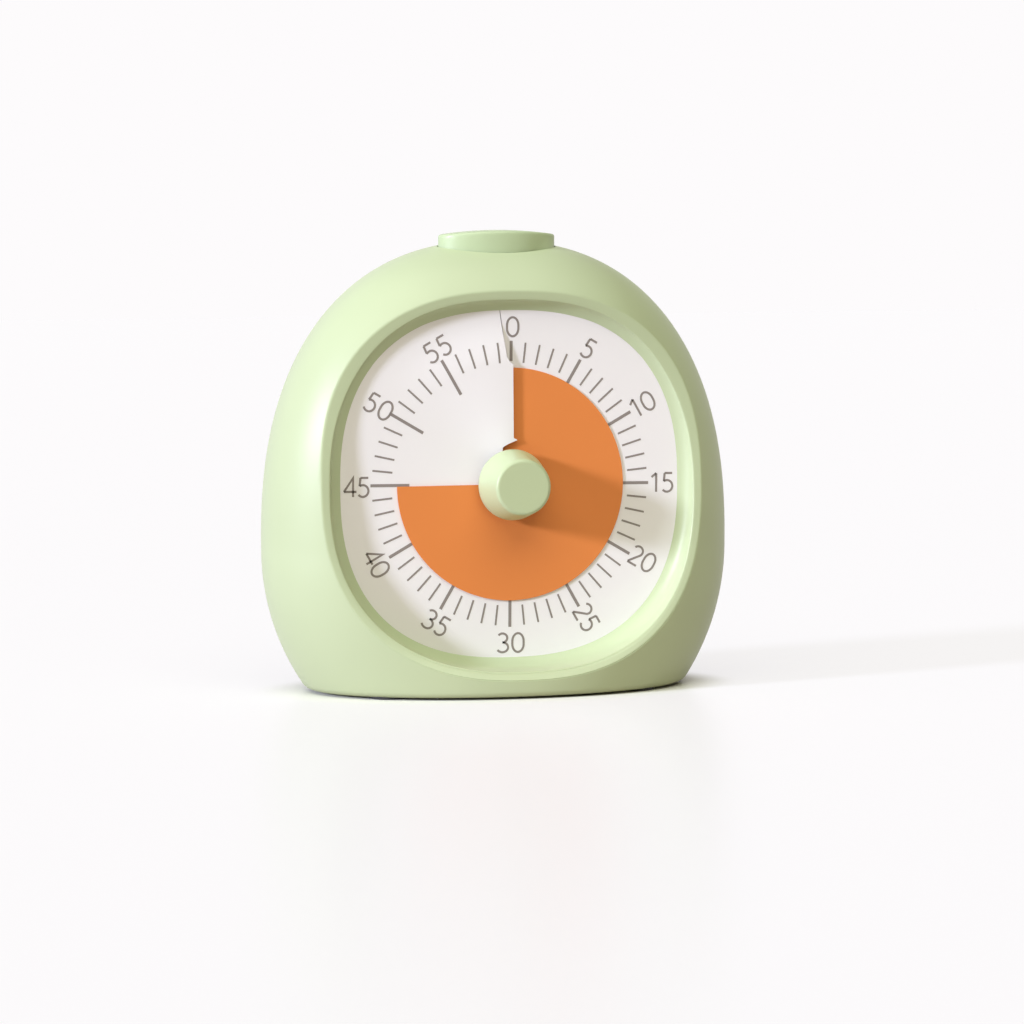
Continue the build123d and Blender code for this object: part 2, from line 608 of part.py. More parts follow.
def polar_sheet(inner, outer, start, end, thickness, height, rings=7, steps=9):
    """Sheet over a sector, whose lower face follows a height in front of the dial."""
    grid = []
    for i in range(rings):
        radius = inner + (outer - inner) * i / (rings - 1)
        row = []
        for k in range(steps):
            angle = start + (end - start) * k / (steps - 1)
            x, z = clock_point(radius, angle)
            row.append(Vector(x, DIAL_Y - height(radius, angle), DIAL_HEIGHT + z))
        grid.append(row)
    face = Face.make_surface_from_array_of_points(grid, tol=0.01, min_deg=1, max_deg=3)
    return extrude(face, thickness, dir=(0, -1, 0))


dial_outline = dial_square(DIAL_HALF)
flat_dial = slab(dial_outline - sector(DIAL_HOLE_RADIUS - 2, 80, LIP_START, 360), 0, SHEET)
LIP_OVERLAP = 3.2             # degrees that the lip first reaches past the slit
LIP_CORNER = 1.165            # the sheet's corners lie this much further out than its sides
lip = polar_sheet(DIAL_HOLE_RADIUS - 1, LIP_CORNER * DIAL_HALF, LIP_START, 360 + LIP_OVERLAP, SHEET,
                  lambda r, a: lip_height(r, a) - SHEET)
lip = lip & slab(dial_outline, -LIP_RISE - 1, SHEET)
SLIT_X = 0.55                 # the slit, from the dial's top edge down to the knob's hole
slit_line = [(-2.4, DIAL_HALF + 1), (-0.8, 26.9), (-0.2, 25.9), (SLIT_X, 25.4), (SLIT_X, 9.4),
             (1.3, 8.6), (1.3, 0)]


def strip(points, left, right):
    """Band along a line, from left to right of it."""
    outline = [(x + left, z) for x, z in points] + [(x + right, z) for x, z in reversed(points)]
    return make_face(Polyline(*outline, close=True))


right_of_slit = slab(strip(slit_line, 0, 20), -LIP_RISE - 1, SHEET + 1)
left_of_slit = slab(strip(slit_line, -20, SLIT_WIDTH), -1, SHEET + 1)
right_edge = flat_dial - (left_of_slit & slab(sector(0.1, 80, 0, 30), -1, SHEET + 1))
patch = slab(sector(DIAL_HOLE_RADIUS - 1, 80, -8, 0) - strip(slit_line, -20, SLIT_WIDTH), 0, SHEET)
dial_plate = right_edge + (patch & slab(dial_outline, 0, SHEET)) + (lip - right_of_slit)
dial_plate -= rod(0, 0, DIAL_HOLE_RADIUS, -3, 3)
for x, z in ears:
    dial_plate -= rod(x, z, EAR_POST_RADIUS + 0.15, -1, 1)

UNDER = SHEET + DISC_GAP + DISC_SHEET     # depth of the hidden disc's lower face
disc_top = slab(sector(HUB_RADIUS + 0.1, DISC_RADIUS, 0, SHOWN_ANGLE), -DISC_GAP - DISC_SHEET, -DISC_GAP)
disc_under = polar_sheet(HUB_RADIUS - 1, DISC_RADIUS + 2, SHOWN_ANGLE, 360, DISC_SHEET,
                         lambda r, a: lip_height(0, a) - UNDER)
disc_under = disc_under & slab(Circle(DISC_RADIUS) - Circle(HUB_RADIUS + 0.1), -3, 3)
time_disc = disc_top + disc_under

CARRIER_BACK = CARRIER_FRONT + CARRIER_PLATE
carrier = slab(dial_square(CARRIER_HALF) - Circle(HUB_RADIUS + 0.3), CARRIER_FRONT, CARRIER_BACK)
carrier += slab(dial_square(CARRIER_HALF) - dial_square(CARRIER_HALF - CARRIER_RIM), SHEET, CARRIER_FRONT)
carrier += tube(0, 0, CUP_RADIUS + CUP_WALL, CUP_RADIUS, CARRIER_BACK, MOVEMENT_FRONT)
rib_start = LUG_CENTRE + LUG_ARC / 2 + (360 - SHOWN_ANGLE) / 2
stop_rib = sector(STOP_OUTER_RADIUS + 0.15, CUP_RADIUS, rib_start + STOP_SLACK,
                  rib_start + 360 - STOP_TRAVEL - LUG_ARC - STOP_SLACK)
carrier += slab(stop_rib, CARRIER_BACK, STOP_FRONT + STOP_DEPTH)
for k in range(8):
    rib = Rot(0, 0, 45 * k + 22.5) * Pos(0, (CUP_RADIUS + CARRIER_HALF) / 2) * Rectangle(
        1.0, CARRIER_HALF - CUP_RADIUS - 3)
    carrier += slab(rib, CARRIER_BACK, CARRIER_BACK + 2)
for x, z in ears:
    ear = make_hull((Pos(x, z) * Circle(EAR_RADIUS)).edges() +
                    (Pos(0.85 * x, 0.85 * z) * Circle(EAR_RADIUS)).edges())
    carrier += slab(ear, EAR_FRONT, CARRIER_BACK)
    carrier -= rod(x, z, 1.0, 0, 5)
    carrier -= rod(x, z, EAR_POST_RADIUS + 0.15, 0, EAR_FRONT)
for x, z in high_bosses + low_bosses:
    carrier -= rod(x, z, BOSS_RADIUS + 0.4, 0, 12)
CORNER = 3.2                  # a screw's distance from two sides of the movement
movement_screw_places = [(x, z) for x in (MOVEMENT_LEFT + CORNER, MOVEMENT_RIGHT - CORNER)
                         for z in (MOVEMENT_HIGH - CORNER, MOVEMENT_LOW + CORNER)]
for x, z in movement_screw_places:
    carrier += tube(x, z, 2.2, SCREW_RADIUS + PILOT, CARRIER_BACK - 0.2, MOVEMENT_FRONT)
carrier_screws = [screw(x, z, CARRIER_BACK, 3.4, shank=SMALL_SCREW_RADIUS) for x, z in ears]

# ---- knob, spindle, hub and stop ring -----------------------------------------------------


def turned(points):
    """Solid turned about the dial's axis; points are radius and distance behind the dial."""
    profile = make_face(Polyline(*[(radius, 0, depth) for radius, depth in points], close=True))
    return Pos(0, DIAL_Y, DIAL_HEIGHT) * Rot(-90, 0, 0) * revolve(profile, Axis.Z)


KNOB_FACE = 1.8               # thickness behind the knob's face
KNOB_TUBE = 1.3               # wall of the tube that grips the spindle
PRESS = 0.01                  # radial room of what is pressed on the spindle
KNOB_BORE_END = -KNOB_FRONT + KNOB_FACE + 0.4
HUB_FRONT = -KNOB_GAP - 1.1
knob = turned([(0, -KNOB_FRONT), (KNOB_TIP_RADIUS, -KNOB_FRONT), (KNOB_BASE_RADIUS, -KNOB_GAP),
               (KNOB_BASE_RADIUS - KNOB_WALL, -KNOB_GAP),
               (KNOB_TIP_RADIUS - KNOB_WALL, -KNOB_FRONT + KNOB_FACE), (0, -KNOB_FRONT + KNOB_FACE)])
knob = fillet(knob.edges().group_by(Axis.Y)[0], KNOB_EDGE)
knob += tube(0, 0, SPINDLE_RADIUS + KNOB_TUBE, SPINDLE_RADIUS + PRESS,
             -KNOB_FRONT + KNOB_FACE - 0.1, HUB_FRONT - 0.1)
for k in range(3):
    web = Rot(0, 0, 120 * k) * Pos(0, SPINDLE_RADIUS + 2.0) * Rectangle(1.0, 3.0)
    knob += slab(web, -KNOB_FRONT + KNOB_FACE - 0.1, -KNOB_GAP - 4.0)

CLIP_FRONT = 11.45            # groove of the clip, behind the dial
CLIP_BACK = 12.05
PIVOT_RADIUS = 1.2
PIVOT_SHOULDER = 13.2         # behind the dial
COLLAR_RADIUS = 4.5           # the drive wheel is pressed against this collar
COLLAR = 0.6
GROOVE = 0.5                  # depth of the clip's groove
clutch_seat = DRIVE_FRONT - 0.1
groove_radius = SPINDLE_RADIUS - GROOVE
spindle = turned([(0, KNOB_BORE_END), (SPINDLE_RADIUS, KNOB_BORE_END),
                  (SPINDLE_RADIUS, clutch_seat - COLLAR), (COLLAR_RADIUS, clutch_seat - COLLAR),
                  (COLLAR_RADIUS, clutch_seat), (SPINDLE_RADIUS, clutch_seat),
                  (SPINDLE_RADIUS, CLIP_FRONT), (groove_radius, CLIP_FRONT),
                  (groove_radius, CLIP_BACK), (SPINDLE_RADIUS, CLIP_BACK),
                  (SPINDLE_RADIUS, PIVOT_SHOULDER), (PIVOT_RADIUS, PIVOT_SHOULDER),
                  (PIVOT_RADIUS, MOVEMENT_BACK - 0.2), (0, MOVEMENT_BACK - 0.2)])

HUB_BACK = STOP_FRONT + STOP_DEPTH + 0.2
disc_hub = tube(0, 0, HUB_RADIUS, SPINDLE_RADIUS + PRESS, HUB_FRONT, HUB_BACK)
disc_hub += tube(0, 0, DIAL_HOLE_RADIUS - 1.2, HUB_RADIUS - 0.2, 1.1, 1.8)
lug_start = LUG_CENTRE - LUG_ARC / 2
disc_hub += slab(sector(HUB_RADIUS - 0.4, STOP_INNER_RADIUS - 0.2, lug_start, lug_start + LUG_ARC),
                 STOP_FRONT + 0.1, STOP_FRONT + STOP_DEPTH - STOP_WEB - 0.1)

stop_back = STOP_FRONT + STOP_DEPTH
stop_ring = tube(0, 0, STOP_OUTER_RADIUS, HUB_RADIUS + RUNNING, stop_back - STOP_WEB, stop_back)
stop_ring += tube(0, 0, STOP_OUTER_RADIUS, STOP_INNER_RADIUS, STOP_FRONT, stop_back)
stop_ring += slab(sector(STOP_OUTER_RADIUS - 0.4, CUP_RADIUS - 0.2, lug_start, lug_start + LUG_ARC),
                  STOP_FRONT, stop_back)
inner_rib = sector(HUB_RADIUS + 0.15, STOP_INNER_RADIUS + 0.3, rib_start + STOP_SLACK,
                   rib_start + 360 - STOP_TRAVEL - LUG_ARC - STOP_SLACK)
stop_ring += slab(inner_rib, STOP_FRONT, stop_back)

# ---- movement -----------------------------------------------------------------------------


def gear(teeth, bore, tooth_angle):
    """Clock wheel: radial flanks, narrower tips; one tooth points at tooth_angle."""
    pitch_radius = GEAR_MODULE * teeth / 2
    root = pitch_radius - 1.2 * GEAR_MODULE
    tip = pitch_radius + 0.9 * GEAR_MODULE
    pitch_angle = 360 / teeth
    outline = []
    for k in range(teeth):
        centre = tooth_angle + pitch_angle * k
        for radius, share in ((root, -0.27), (pitch_radius, -0.22), (tip, -0.09),
                              (tip, 0.09), (pitch_radius, 0.22), (root, 0.27)):
            angle = radians(centre + share * pitch_angle)
            outline.append((radius * cos(angle), radius * sin(angle)))
    return make_face(Polyline(*outline, close=True)) - Circle(bore)


TRANSFER_DISTANCE = GEAR_MODULE * (DRIVE_TEETH + TRANSFER_PINION_TEETH) / 2
MOTOR_DISTANCE = GEAR_MODULE * (TRANSFER_WHEEL_TEETH + MOTOR_PINION_TEETH) / 2
TRANSFER = (-TRANSFER_DISTANCE, 0.0)
MOTOR = (TRANSFER[0], TRANSFER[1] - MOTOR_DISTANCE)
MOTOR_TAB_X = MOTOR[0] + MOTOR_RADIUS + 0.6
MOTOR_LEAD_PITCH = 2.4
MOTOR_TAB_BACK = 2.6

WHEEL_HOLES = 5               # they lighten a wheel
WHEEL_FACE = 1.0
drive_wheel = slab(gear(DRIVE_TEETH, SPINDLE_RADIUS + RUNNING, 180), DRIVE_FRONT, DRIVE_FRONT + DRIVE_FACE)
for k in range(WHEEL_HOLES):
    x, z = clock_point(6.3, 360 / WHEEL_HOLES * k)
    drive_wheel -= rod(x, z, 1.6, DRIVE_FRONT, DRIVE_FRONT + DRIVE_FACE)
half_pinion_pitch = 180 / TRANSFER_PINION_TEETH
transfer_pinion = slab(Pos(*TRANSFER) * gear(TRANSFER_PINION_TEETH, ARBOR_RADIUS, half_pinion_pitch),
                       DRIVE_FRONT - 0.1, DRIVE_FRONT + DRIVE_FACE + 0.3)
transfer_wheel = slab(Pos(*TRANSFER) * gear(TRANSFER_WHEEL_TEETH, ARBOR_RADIUS, -90),
                      TRANSFER_FRONT, TRANSFER_FRONT + WHEEL_FACE)
transfer_collar = tube(*TRANSFER, 1.7, ARBOR_RADIUS, DRIVE_FRONT + DRIVE_FACE + 0.3, TRANSFER_FRONT)
transfer_wheel += transfer_collar
for k in range(WHEEL_HOLES):
    x, z = clock_point(4.9, 360 / WHEEL_HOLES * k)
    transfer_wheel -= rod(TRANSFER[0] + x, TRANSFER[1] + z, 1.4, TRANSFER_FRONT, TRANSFER_FRONT + WHEEL_FACE)
transfer_arbor = rod(*TRANSFER, ARBOR_RADIUS, MOVEMENT_FRONT + 0.3, MOVEMENT_BACK - 0.3)
half_motor_pitch = 180 / MOTOR_PINION_TEETH
motor_pinion = slab(Pos(*MOTOR) * gear(MOTOR_PINION_TEETH, MOTOR_SHAFT_RADIUS, 90 + half_motor_pitch),
                    TRANSFER_FRONT - 0.1, TRANSFER_FRONT + 1.2)
motor_shaft = rod(*MOTOR, MOTOR_SHAFT_RADIUS, TRANSFER_FRONT - 0.5, MOTOR_FRONT + 2.4)
motor_can = tube(*MOTOR, MOTOR_RADIUS, MOTOR_SHAFT_RADIUS + RUNNING, MOTOR_FRONT, MOTOR_FRONT + 2.6)
motor_can += rod(*MOTOR, MOTOR_RADIUS, MOTOR_FRONT + 2.5, MOTOR_FRONT + MOTOR_LENGTH)
motor_tab = Pos(MOTOR[0] + MOTOR_RADIUS, MOTOR[1]) * Rectangle(3, 6)
motor_can += slab(motor_tab, MOTOR_FRONT + 0.6, MOTOR_FRONT + MOTOR_TAB_BACK)

clutch_spring = turned([(SPINDLE_RADIUS + 0.1, 11.05), (3.4, DRIVE_FRONT + DRIVE_FACE + 0.02),
                        (3.4, 10.9), (SPINDLE_RADIUS + 0.1, CLIP_FRONT - 0.02)])
clip_mouth = Pos(0, -3) * Rectangle(2 * SPINDLE_RADIUS - 1.1, 6)
clutch_clip = slab(Circle(3.3) - Circle(groove_radius + 0.02) - clip_mouth,
                   CLIP_FRONT + PRESS, CLIP_BACK - PRESS)

HOUSE = Pos((MOVEMENT_LEFT + MOVEMENT_RIGHT) / 2, (MOVEMENT_LOW + MOVEMENT_HIGH) / 2)
HOUSE_WIDTH = MOVEMENT_RIGHT - MOVEMENT_LEFT
HOUSE_HEIGHT = MOVEMENT_HIGH - MOVEMENT_LOW


def tray(front, back, floor_front, floor_back, hole):
    """Half of the movement's housing, with screw tubes in its corners."""
    outer = HOUSE * RectangleRounded(HOUSE_WIDTH, HOUSE_HEIGHT, 4.0)
    inner = HOUSE * RectangleRounded(HOUSE_WIDTH - 2 * MOVEMENT_WALL, HOUSE_HEIGHT - 2 * MOVEMENT_WALL, 2.8)
    shell = slab(outer - inner, front, back) + slab(outer, floor_front, floor_back)
    for x, z in movement_screw_places:
        shell += rod(x, z, 2.2, front, back)
        shell -= rod(x, z, SCREW_RADIUS + 0.1, front, back)
    return shell - rod(0, 0, hole, front, back)


front_housing = tray(MOVEMENT_FRONT, MOVEMENT_SPLIT, MOVEMENT_FRONT, MOVEMENT_FRONT + MOVEMENT_WALL,
                     SPINDLE_RADIUS + RUNNING)
front_housing -= rod(*TRANSFER, ARBOR_RADIUS + RUNNING, MOVEMENT_FRONT, MOVEMENT_FRONT + 2)
rear_housing = tray(MOVEMENT_SPLIT, MOVEMENT_BACK, MOVEMENT_BACK - MOVEMENT_WALL, MOVEMENT_BACK,
                    PIVOT_RADIUS + RUNNING)
rear_housing -= rod(*TRANSFER, ARBOR_RADIUS + RUNNING, MOVEMENT_BACK - 3, MOVEMENT_BACK)
rear_housing += tube(*MOTOR, MOTOR_RADIUS - 1, MOTOR_RADIUS - 2,
                     MOTOR_FRONT + MOTOR_LENGTH, MOVEMENT_BACK - 0.2)
for up in (-1, 1):
    rear_housing -= rod(MOTOR_TAB_X, MOTOR[1] + up * MOTOR_LEAD_PITCH / 2, LEAD_RADIUS + 0.3,
                        MOVEMENT_BACK - 2, MOVEMENT_BACK)
movement_screws = [screw(x, z, MOVEMENT_BACK, 13.8, head_height=1.2) for x, z in movement_screw_places]

# ---- board, sound switch and buzzer -------------------------------------------------------

board_face = Pos(0, (BOARD_LOW + BOARD_HIGH) / 2 - DIAL_HEIGHT) * RectangleRounded(
    2 * BOARD_HALF, BOARD_HIGH - BOARD_LOW, 1.5)
circuit_board = slab(board_face, BOARD_BEHIND, BOARD_BACK)
BOARD_HOLE_RADIUS = 1.0
for x, z in board_posts:
    circuit_board -= rod(x, z - DIAL_HEIGHT, BOARD_HOLE_RADIUS, BOARD_BEHIND, BOARD_BACK)


def board_screw(x, z):
    """Small screw with its head on the front of the board."""
    head = rod(x, z, 1.7, BOARD_BEHIND - 1.2, BOARD_BEHIND)
    head -= rod(x, z, 0.7, BOARD_BEHIND - 1.2, BOARD_BEHIND - 0.6)
    return head + rod(x, z, POST_PILOT_RADIUS - 0.05, BOARD_BEHIND, BOARD_BACK + BOARD_SCREW_GRIP)


board_screws = [board_screw(x, z - DIAL_HEIGHT) for x, z in board_posts]
BUZZER_RADIUS = 6.0
buzzer_back = BACK_Y - WALL - 0.4 - DIAL_Y
buzzer = rod(0, BUZZER_Z - DIAL_HEIGHT, BUZZER_RADIUS, BOARD_BACK, buzzer_back)
buzzer -= rod(0, BUZZER_Z - DIAL_HEIGHT, 1.0, buzzer_back - 1.6, buzzer_back)
SWITCH_END = 1.8              # walls of the switch body round the slider's room
SWITCH_RAIL = 1.2
SLIDER_FOOT = 1.3             # the slider's depth in the switch body
SLIDER_BELOW = 0.3            # its thumb face below the flat back
switch_back = BACK_Y - WALL - 0.3
switch_half = SLOT_HALF + SLOT_GAP + SWITCH_END
switch_half_height = SLOT_HALF_HEIGHT + SWITCH_RAIL
switch_body = block(-switch_half, switch_half, DIAL_Y + BOARD_BACK, switch_back,
                    SOUND_SWITCH_Z - switch_half_height, SOUND_SWITCH_Z + switch_half_height)
switch_body -= block(-SLOT_HALF - SLOT_GAP, SLOT_HALF + SLOT_GAP, switch_back - SLIDER_FOOT - 0.1,
                     switch_back, SOUND_SWITCH_Z - SLOT_HALF_HEIGHT - 0.1,
                     SOUND_SWITCH_Z + SLOT_HALF_HEIGHT + 0.1)
slider = block(-SLIDER_HALF, SLIDER_HALF, switch_back - SLIDER_FOOT, BACK_Y - SLIDER_BELOW,
               SOUND_SWITCH_Z - SLIDER_HALF_HEIGHT, SOUND_SWITCH_Z + SLIDER_HALF_HEIGHT)
for k in (-1, 0, 1):
    slider -= block(1.2 * k - 0.25, 1.2 * k + 0.25, BACK_Y - SLIDER_BELOW - 0.4, BACK_Y,
                    SOUND_SWITCH_Z - FAR, SOUND_SWITCH_Z + FAR)

CHIP_HALF = 4.5
CHIP_LOW = 56.0
CHIP_HIGH = 61.5
CHIP_HEIGHT = 1.5
PIN_PITCH = 1.27
PIN_HALF = 0.22
PIN_REACH = 1.0
PINS = 7                      # on each side
chip_seat = DIAL_Y + BOARD_BEHIND
control_chip = block(-CHIP_HALF, CHIP_HALF, chip_seat - CHIP_HEIGHT, chip_seat, CHIP_LOW, CHIP_HIGH)
for k in range(PINS):
    x = PIN_PITCH * (k - (PINS - 1) / 2)
    control_chip += block(x - PIN_HALF, x + PIN_HALF, chip_seat - CHIP_HEIGHT / 2, chip_seat,
                          CHIP_LOW - PIN_REACH, CHIP_HIGH + PIN_REACH)

# ---- top button ---------------------------------------------------------------------------

oval = Ellipse(BUTTON_HALF_WIDTH, BUTTON_HALF_DEPTH)
button_level = Plane((0, BUTTON_Y, BUTTON_FOOT))
button = extrude(button_level * oval, BUTTON_TOP - BUTTON_FOOT)
button &= Pos(0, BUTTON_Y, BUTTON_TOP - BUTTON_DOME) * Rot(90, 0, 0) * Sphere(BUTTON_DOME)
button = fillet(button.edges().filter_by(GeomType.BSPLINE), BUTTON_EDGE)
inside = Ellipse(BUTTON_HALF_WIDTH - BUTTON_WALL, BUTTON_HALF_DEPTH - BUTTON_WALL)
flange = Ellipse(BUTTON_HALF_WIDTH + BUTTON_FLANGE, BUTTON_HALF_DEPTH + BUTTON_FLANGE) - inside
button -= extrude(button_level * inside, BUTTON_TOP - BUTTON_FACE - BUTTON_FOOT)
button += extrude(button_level * flange, BUTTON_SKIRT - BUTTON_FOOT)
stem_top = BUTTON_TOP - BUTTON_FACE + 0.1
button += Pos(0, BUTTON_Y, (STEM_END + stem_top) / 2) * Cylinder(BUTTON_STEM_RADIUS, stem_top - STEM_END)

tact_switch = block(-TACT_HALF, TACT_HALF, BUTTON_Y - TACT_HALF, BUTTON_Y + TACT_HALF, TACT_LOW, TACT_TOP)
tact_switch += Pos(0, BUTTON_Y, (TACT_TOP + PLUNGER_TOP) / 2) * Cylinder(1.7, PLUNGER_TOP - TACT_TOP)
BUTTON_BOARD_HALF = 11.0
BUTTON_BOARD_DEPTH = 9.0
button_board = block(-BUTTON_BOARD_HALF, BUTTON_BOARD_HALF, BUTTON_Y - BUTTON_BOARD_DEPTH / 2,
                     BUTTON_Y + BUTTON_BOARD_DEPTH / 2, BUTTON_BOARD_LOW, TACT_LOW)
spring_room = BUTTON_TOP - BUTTON_FACE - TACT_LOW
button_spring = Pos(0, BUTTON_Y, TACT_LOW) * coil(4.35, 0.25, spring_room - 0.02, 5)

button_screws = []
for side in (-1, 1):
    x = side * BUTTON_SCREW_X
    button_board -= Pos(x, BUTTON_Y, TACT_LOW) * Cylinder(BOARD_HOLE_RADIUS, 10)
    head = Pos(x, BUTTON_Y, TACT_LOW + 0.6) * Cylinder(1.6, 1.2)
    button_screws.append(head + Pos(x, BUTTON_Y, TACT_LOW - 1.4) * Cylinder(SMALL_SHANK, 2.8))

# ---- leads --------------------------------------------------------------------------------

BOARD_Y = DIAL_Y + BOARD_BEHIND
MOTOR_LEAD_Y = DIAL_Y + MOTOR_FRONT + MOTOR_TAB_BACK
battery_leads = []
for (y, height), end_x, up in zip(tails, (12.4, 8.8), (0.0, 4.0)):
    start = height + TAIL_RISE
    battery_leads.append(lead([(TAIL_X, y, start), (TAIL_X, y, start + 0.45 * (30 - start)),
                               (27.2, y - 1.0, 30.0), (21.0, 11.4, 37.0 + up),
                               (end_x + 3.4, 10.9, 41.6 + up), (end_x, 12.2, 43.6 + up),
                               (end_x, BOARD_Y, 43.6 + up)]))
button_leads = []
for x in (-4.0, 4.0):
    y = BUTTON_Y + 3.4
    button_leads.append(lead([(x, y, BUTTON_BOARD_LOW), (x, y, BUTTON_BOARD_LOW - 4.2),
                              (x, 7.0, BUTTON_BOARD_LOW - 8.6), (x, 11.0, BUTTON_BOARD_LOW - 10.6),
                              (x, BOARD_Y, BUTTON_BOARD_LOW - 10.6)]))
motor_leads = []
for up in (-1, 1):
    start = DIAL_HEIGHT + MOTOR[1] + up * MOTOR_LEAD_PITCH / 2
    motor_leads.append(lead([(MOTOR_TAB_X, MOTOR_LEAD_Y, start), (MOTOR_TAB_X, MOTOR_LEAD_Y + 3.2, start),
                             (MOTOR_TAB_X, MOTOR_LEAD_Y + 5.8, start + 4.0),
                             (MOTOR_TAB_X, BOARD_Y, start + 4.0)]))

# ---- files --------------------------------------------------------------------------------

keep("front_case", front_case)
keep("rear_case", rear_case)
keep("foot_pads", *feet)
keep("case_screws", *[screw(x, z, SEAM + 2.4, 9.5) for x, z in low_bosses + high_bosses])
keep("battery_door", battery_door)
keep("batteries", *batteries)
keep("battery_contacts", *contacts)
keep("battery_springs", *battery_springs)
keep("dial_plate", dial_plate)
keep("time_disc", time_disc)
keep("dial_carrier", carrier)
keep("carrier_screws", *carrier_screws)
keep("knob", knob)
keep("spindle", spindle)
keep("disc_hub", disc_hub)
keep("stop_ring", stop_ring)
keep("drive_wheel", drive_wheel)
keep("clutch_spring", clutch_spring)
keep("clutch_clip", clutch_clip)
keep("transfer_pinion", transfer_pinion)
keep("transfer_wheel", transfer_wheel)
keep("transfer_arbor", transfer_arbor)
keep("motor_pinion", motor_pinion)
keep("motor_shaft", motor_shaft)
keep("motor_can", motor_can)
keep("movement_front_housing", front_housing)
keep("movement_rear_housing", rear_housing)
keep("movement_screws", *movement_screws)
keep("circuit_board", circuit_board)
keep("board_screws", *board_screws)
keep("control_chip", control_chip)
keep("buzzer", buzzer)
keep("sound_switch_body", switch_body)
keep("sound_slider", slider)
keep("top_button", button)
keep("button_spring", button_spring)
keep("button_switch", tact_switch)
keep("button_board", button_board)
keep("button_screws", *button_screws)
keep("battery_leads", *battery_leads)
keep("button_leads", *button_leads)
keep("motor_leads", *motor_leads)
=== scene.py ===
import json
from math import acos, asin, atan2, copysign, cos, degrees, exp, pi, radians, sin, sqrt

import bmesh
import bpy
from mathutils import Matrix, Vector


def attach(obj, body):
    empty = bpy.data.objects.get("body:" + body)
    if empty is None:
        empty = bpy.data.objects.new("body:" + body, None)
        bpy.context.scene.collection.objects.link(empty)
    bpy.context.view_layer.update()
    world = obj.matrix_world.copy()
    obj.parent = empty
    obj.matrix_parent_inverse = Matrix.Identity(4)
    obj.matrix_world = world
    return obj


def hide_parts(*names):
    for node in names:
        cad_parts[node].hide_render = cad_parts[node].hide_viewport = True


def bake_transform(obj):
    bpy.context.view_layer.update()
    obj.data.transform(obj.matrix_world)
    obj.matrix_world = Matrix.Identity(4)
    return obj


# Visual countdown timer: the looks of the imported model.
# Metres, X to the right, Y from the dial to the back, Z up. Dial angles run clockwise from 0.

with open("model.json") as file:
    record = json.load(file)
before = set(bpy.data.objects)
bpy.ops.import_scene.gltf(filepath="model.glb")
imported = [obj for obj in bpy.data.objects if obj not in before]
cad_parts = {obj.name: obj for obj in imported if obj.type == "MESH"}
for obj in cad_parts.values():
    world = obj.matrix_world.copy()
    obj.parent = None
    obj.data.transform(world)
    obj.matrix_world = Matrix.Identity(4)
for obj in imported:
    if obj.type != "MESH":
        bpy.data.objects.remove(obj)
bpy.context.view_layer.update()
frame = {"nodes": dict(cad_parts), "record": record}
bpy.ops.object.select_all(action="DESELECT")

MM = 0.001

# ---- sizes --------------------------------------------------------------------------------

DIAL_Y = -10.6 * MM
DIAL_Z = 44.3 * MM
DIAL_CENTRE = Vector((0, DIAL_Y, DIAL_Z))

# body
CASE_HALF_WIDTH = 50.7 * MM
CASE_HALF_DEPTH = 27.5 * MM
WAIST_HEIGHT = 30.3 * MM
CROWN_HEIGHT = 95.6 * MM
SIDE_FALL = 51.0 * MM
FRONT_FALL = 90.0 * MM
SIDE_EXPONENT = 2.34
DEPTH_EXPONENT = 2.2
LEVEL_EXPONENT = 2.05
CROWN_EXPONENT = 2.5
CASE_BOTTOM = 0.5 * MM
CASE_MIDDLE = 2.9 * MM        # Y of the pebble's middle
BASE_EDGE = 1.2 * MM
BASE_RING = 0.6               # size of the ring that divides the flat base, as a share of it
WALL = 2.2 * MM
SEAM = 13.6 * MM
SEAM_GROOVE = 0.12 * MM
BACK_Y = 23.4 * MM            # the flat back
FAR = 60 * MM                 # beyond the body on every side

# rim round the dial
OPENING_HALF = 36.65 * MM
RIM_HALF_WIDTH = 41.3 * MM
RIM_HALF_HEIGHT = 40.5 * MM
LAND_WIDTH = 1.65 * MM
RIM_RAISE = 0.3 * MM
FLARE_DEPTH = 1.1 * MM
INNER_ROUND = 0.35 * MM       # round edge where the funnel meets the land
OUTER_EASE = 0.35 * MM        # the land's outer edge is eased over this width
EASE_RISE = 0.5 / MM
CUT_BACK = 1 * MM             # the opening's cut starts this far behind the dial's face
CUT_BEYOND = 2 * MM           # and widens this far, over the next size, in front of the land
CUT_FORWARD = 2.5 * MM

# bosses inside the front case: X and Z from the middle and the table
LOW_BOSS = (34.5 * MM, 14.5 * MM)
LOW_BOSS_FRONT = DIAL_Y - 2 * MM
HIGH_BOSS = (31.0 * MM, 70.0 * MM)
HIGH_BOSS_FRONT = -9.3 * MM
BOSS_RADIUS = 3.0 * MM
BOSS_RIB = 1.6 * MM
RIB_BACK = 11.85 * MM

# top button, the bar under it, and feet
BUTTON_Y = 0.4 * MM
BUTTON_HALF_WIDTH = 12.65 * MM
BUTTON_HALF_DEPTH = 6.3 * MM
BUTTON_GAP = 0.3 * MM
SHAFT_MIDDLE = 84 * MM        # height of the middle of the button's shaft
SHAFT_LENGTH = 20 * MM
BAR_HALF_DEPTH = 2.2 * MM
BAR_LOW = 78.0 * MM
BAR_HIGH = 80.4 * MM
FOOT_PLACES = [(x * MM, y * MM) for x in (-27.0, 27.0) for y in (-11.5, 7.6)]
FOOT_RADIUS = 4.1 * MM
FOOT_RECESS = 1.1 * MM

# dial: a rounded square sheet, whose lip on the slit's left stands forward
DIAL_HALF = 37.7 * MM
DIAL_EXPONENT = 2.45
SHEET = 0.5 * MM
LIP_RISE = 1.0 * MM
LIP_START = 300               # dial angle where the lip begins to rise
LIP_FADE_START = 26.0 * MM
LIP_FADE_END = 35.5 * MM

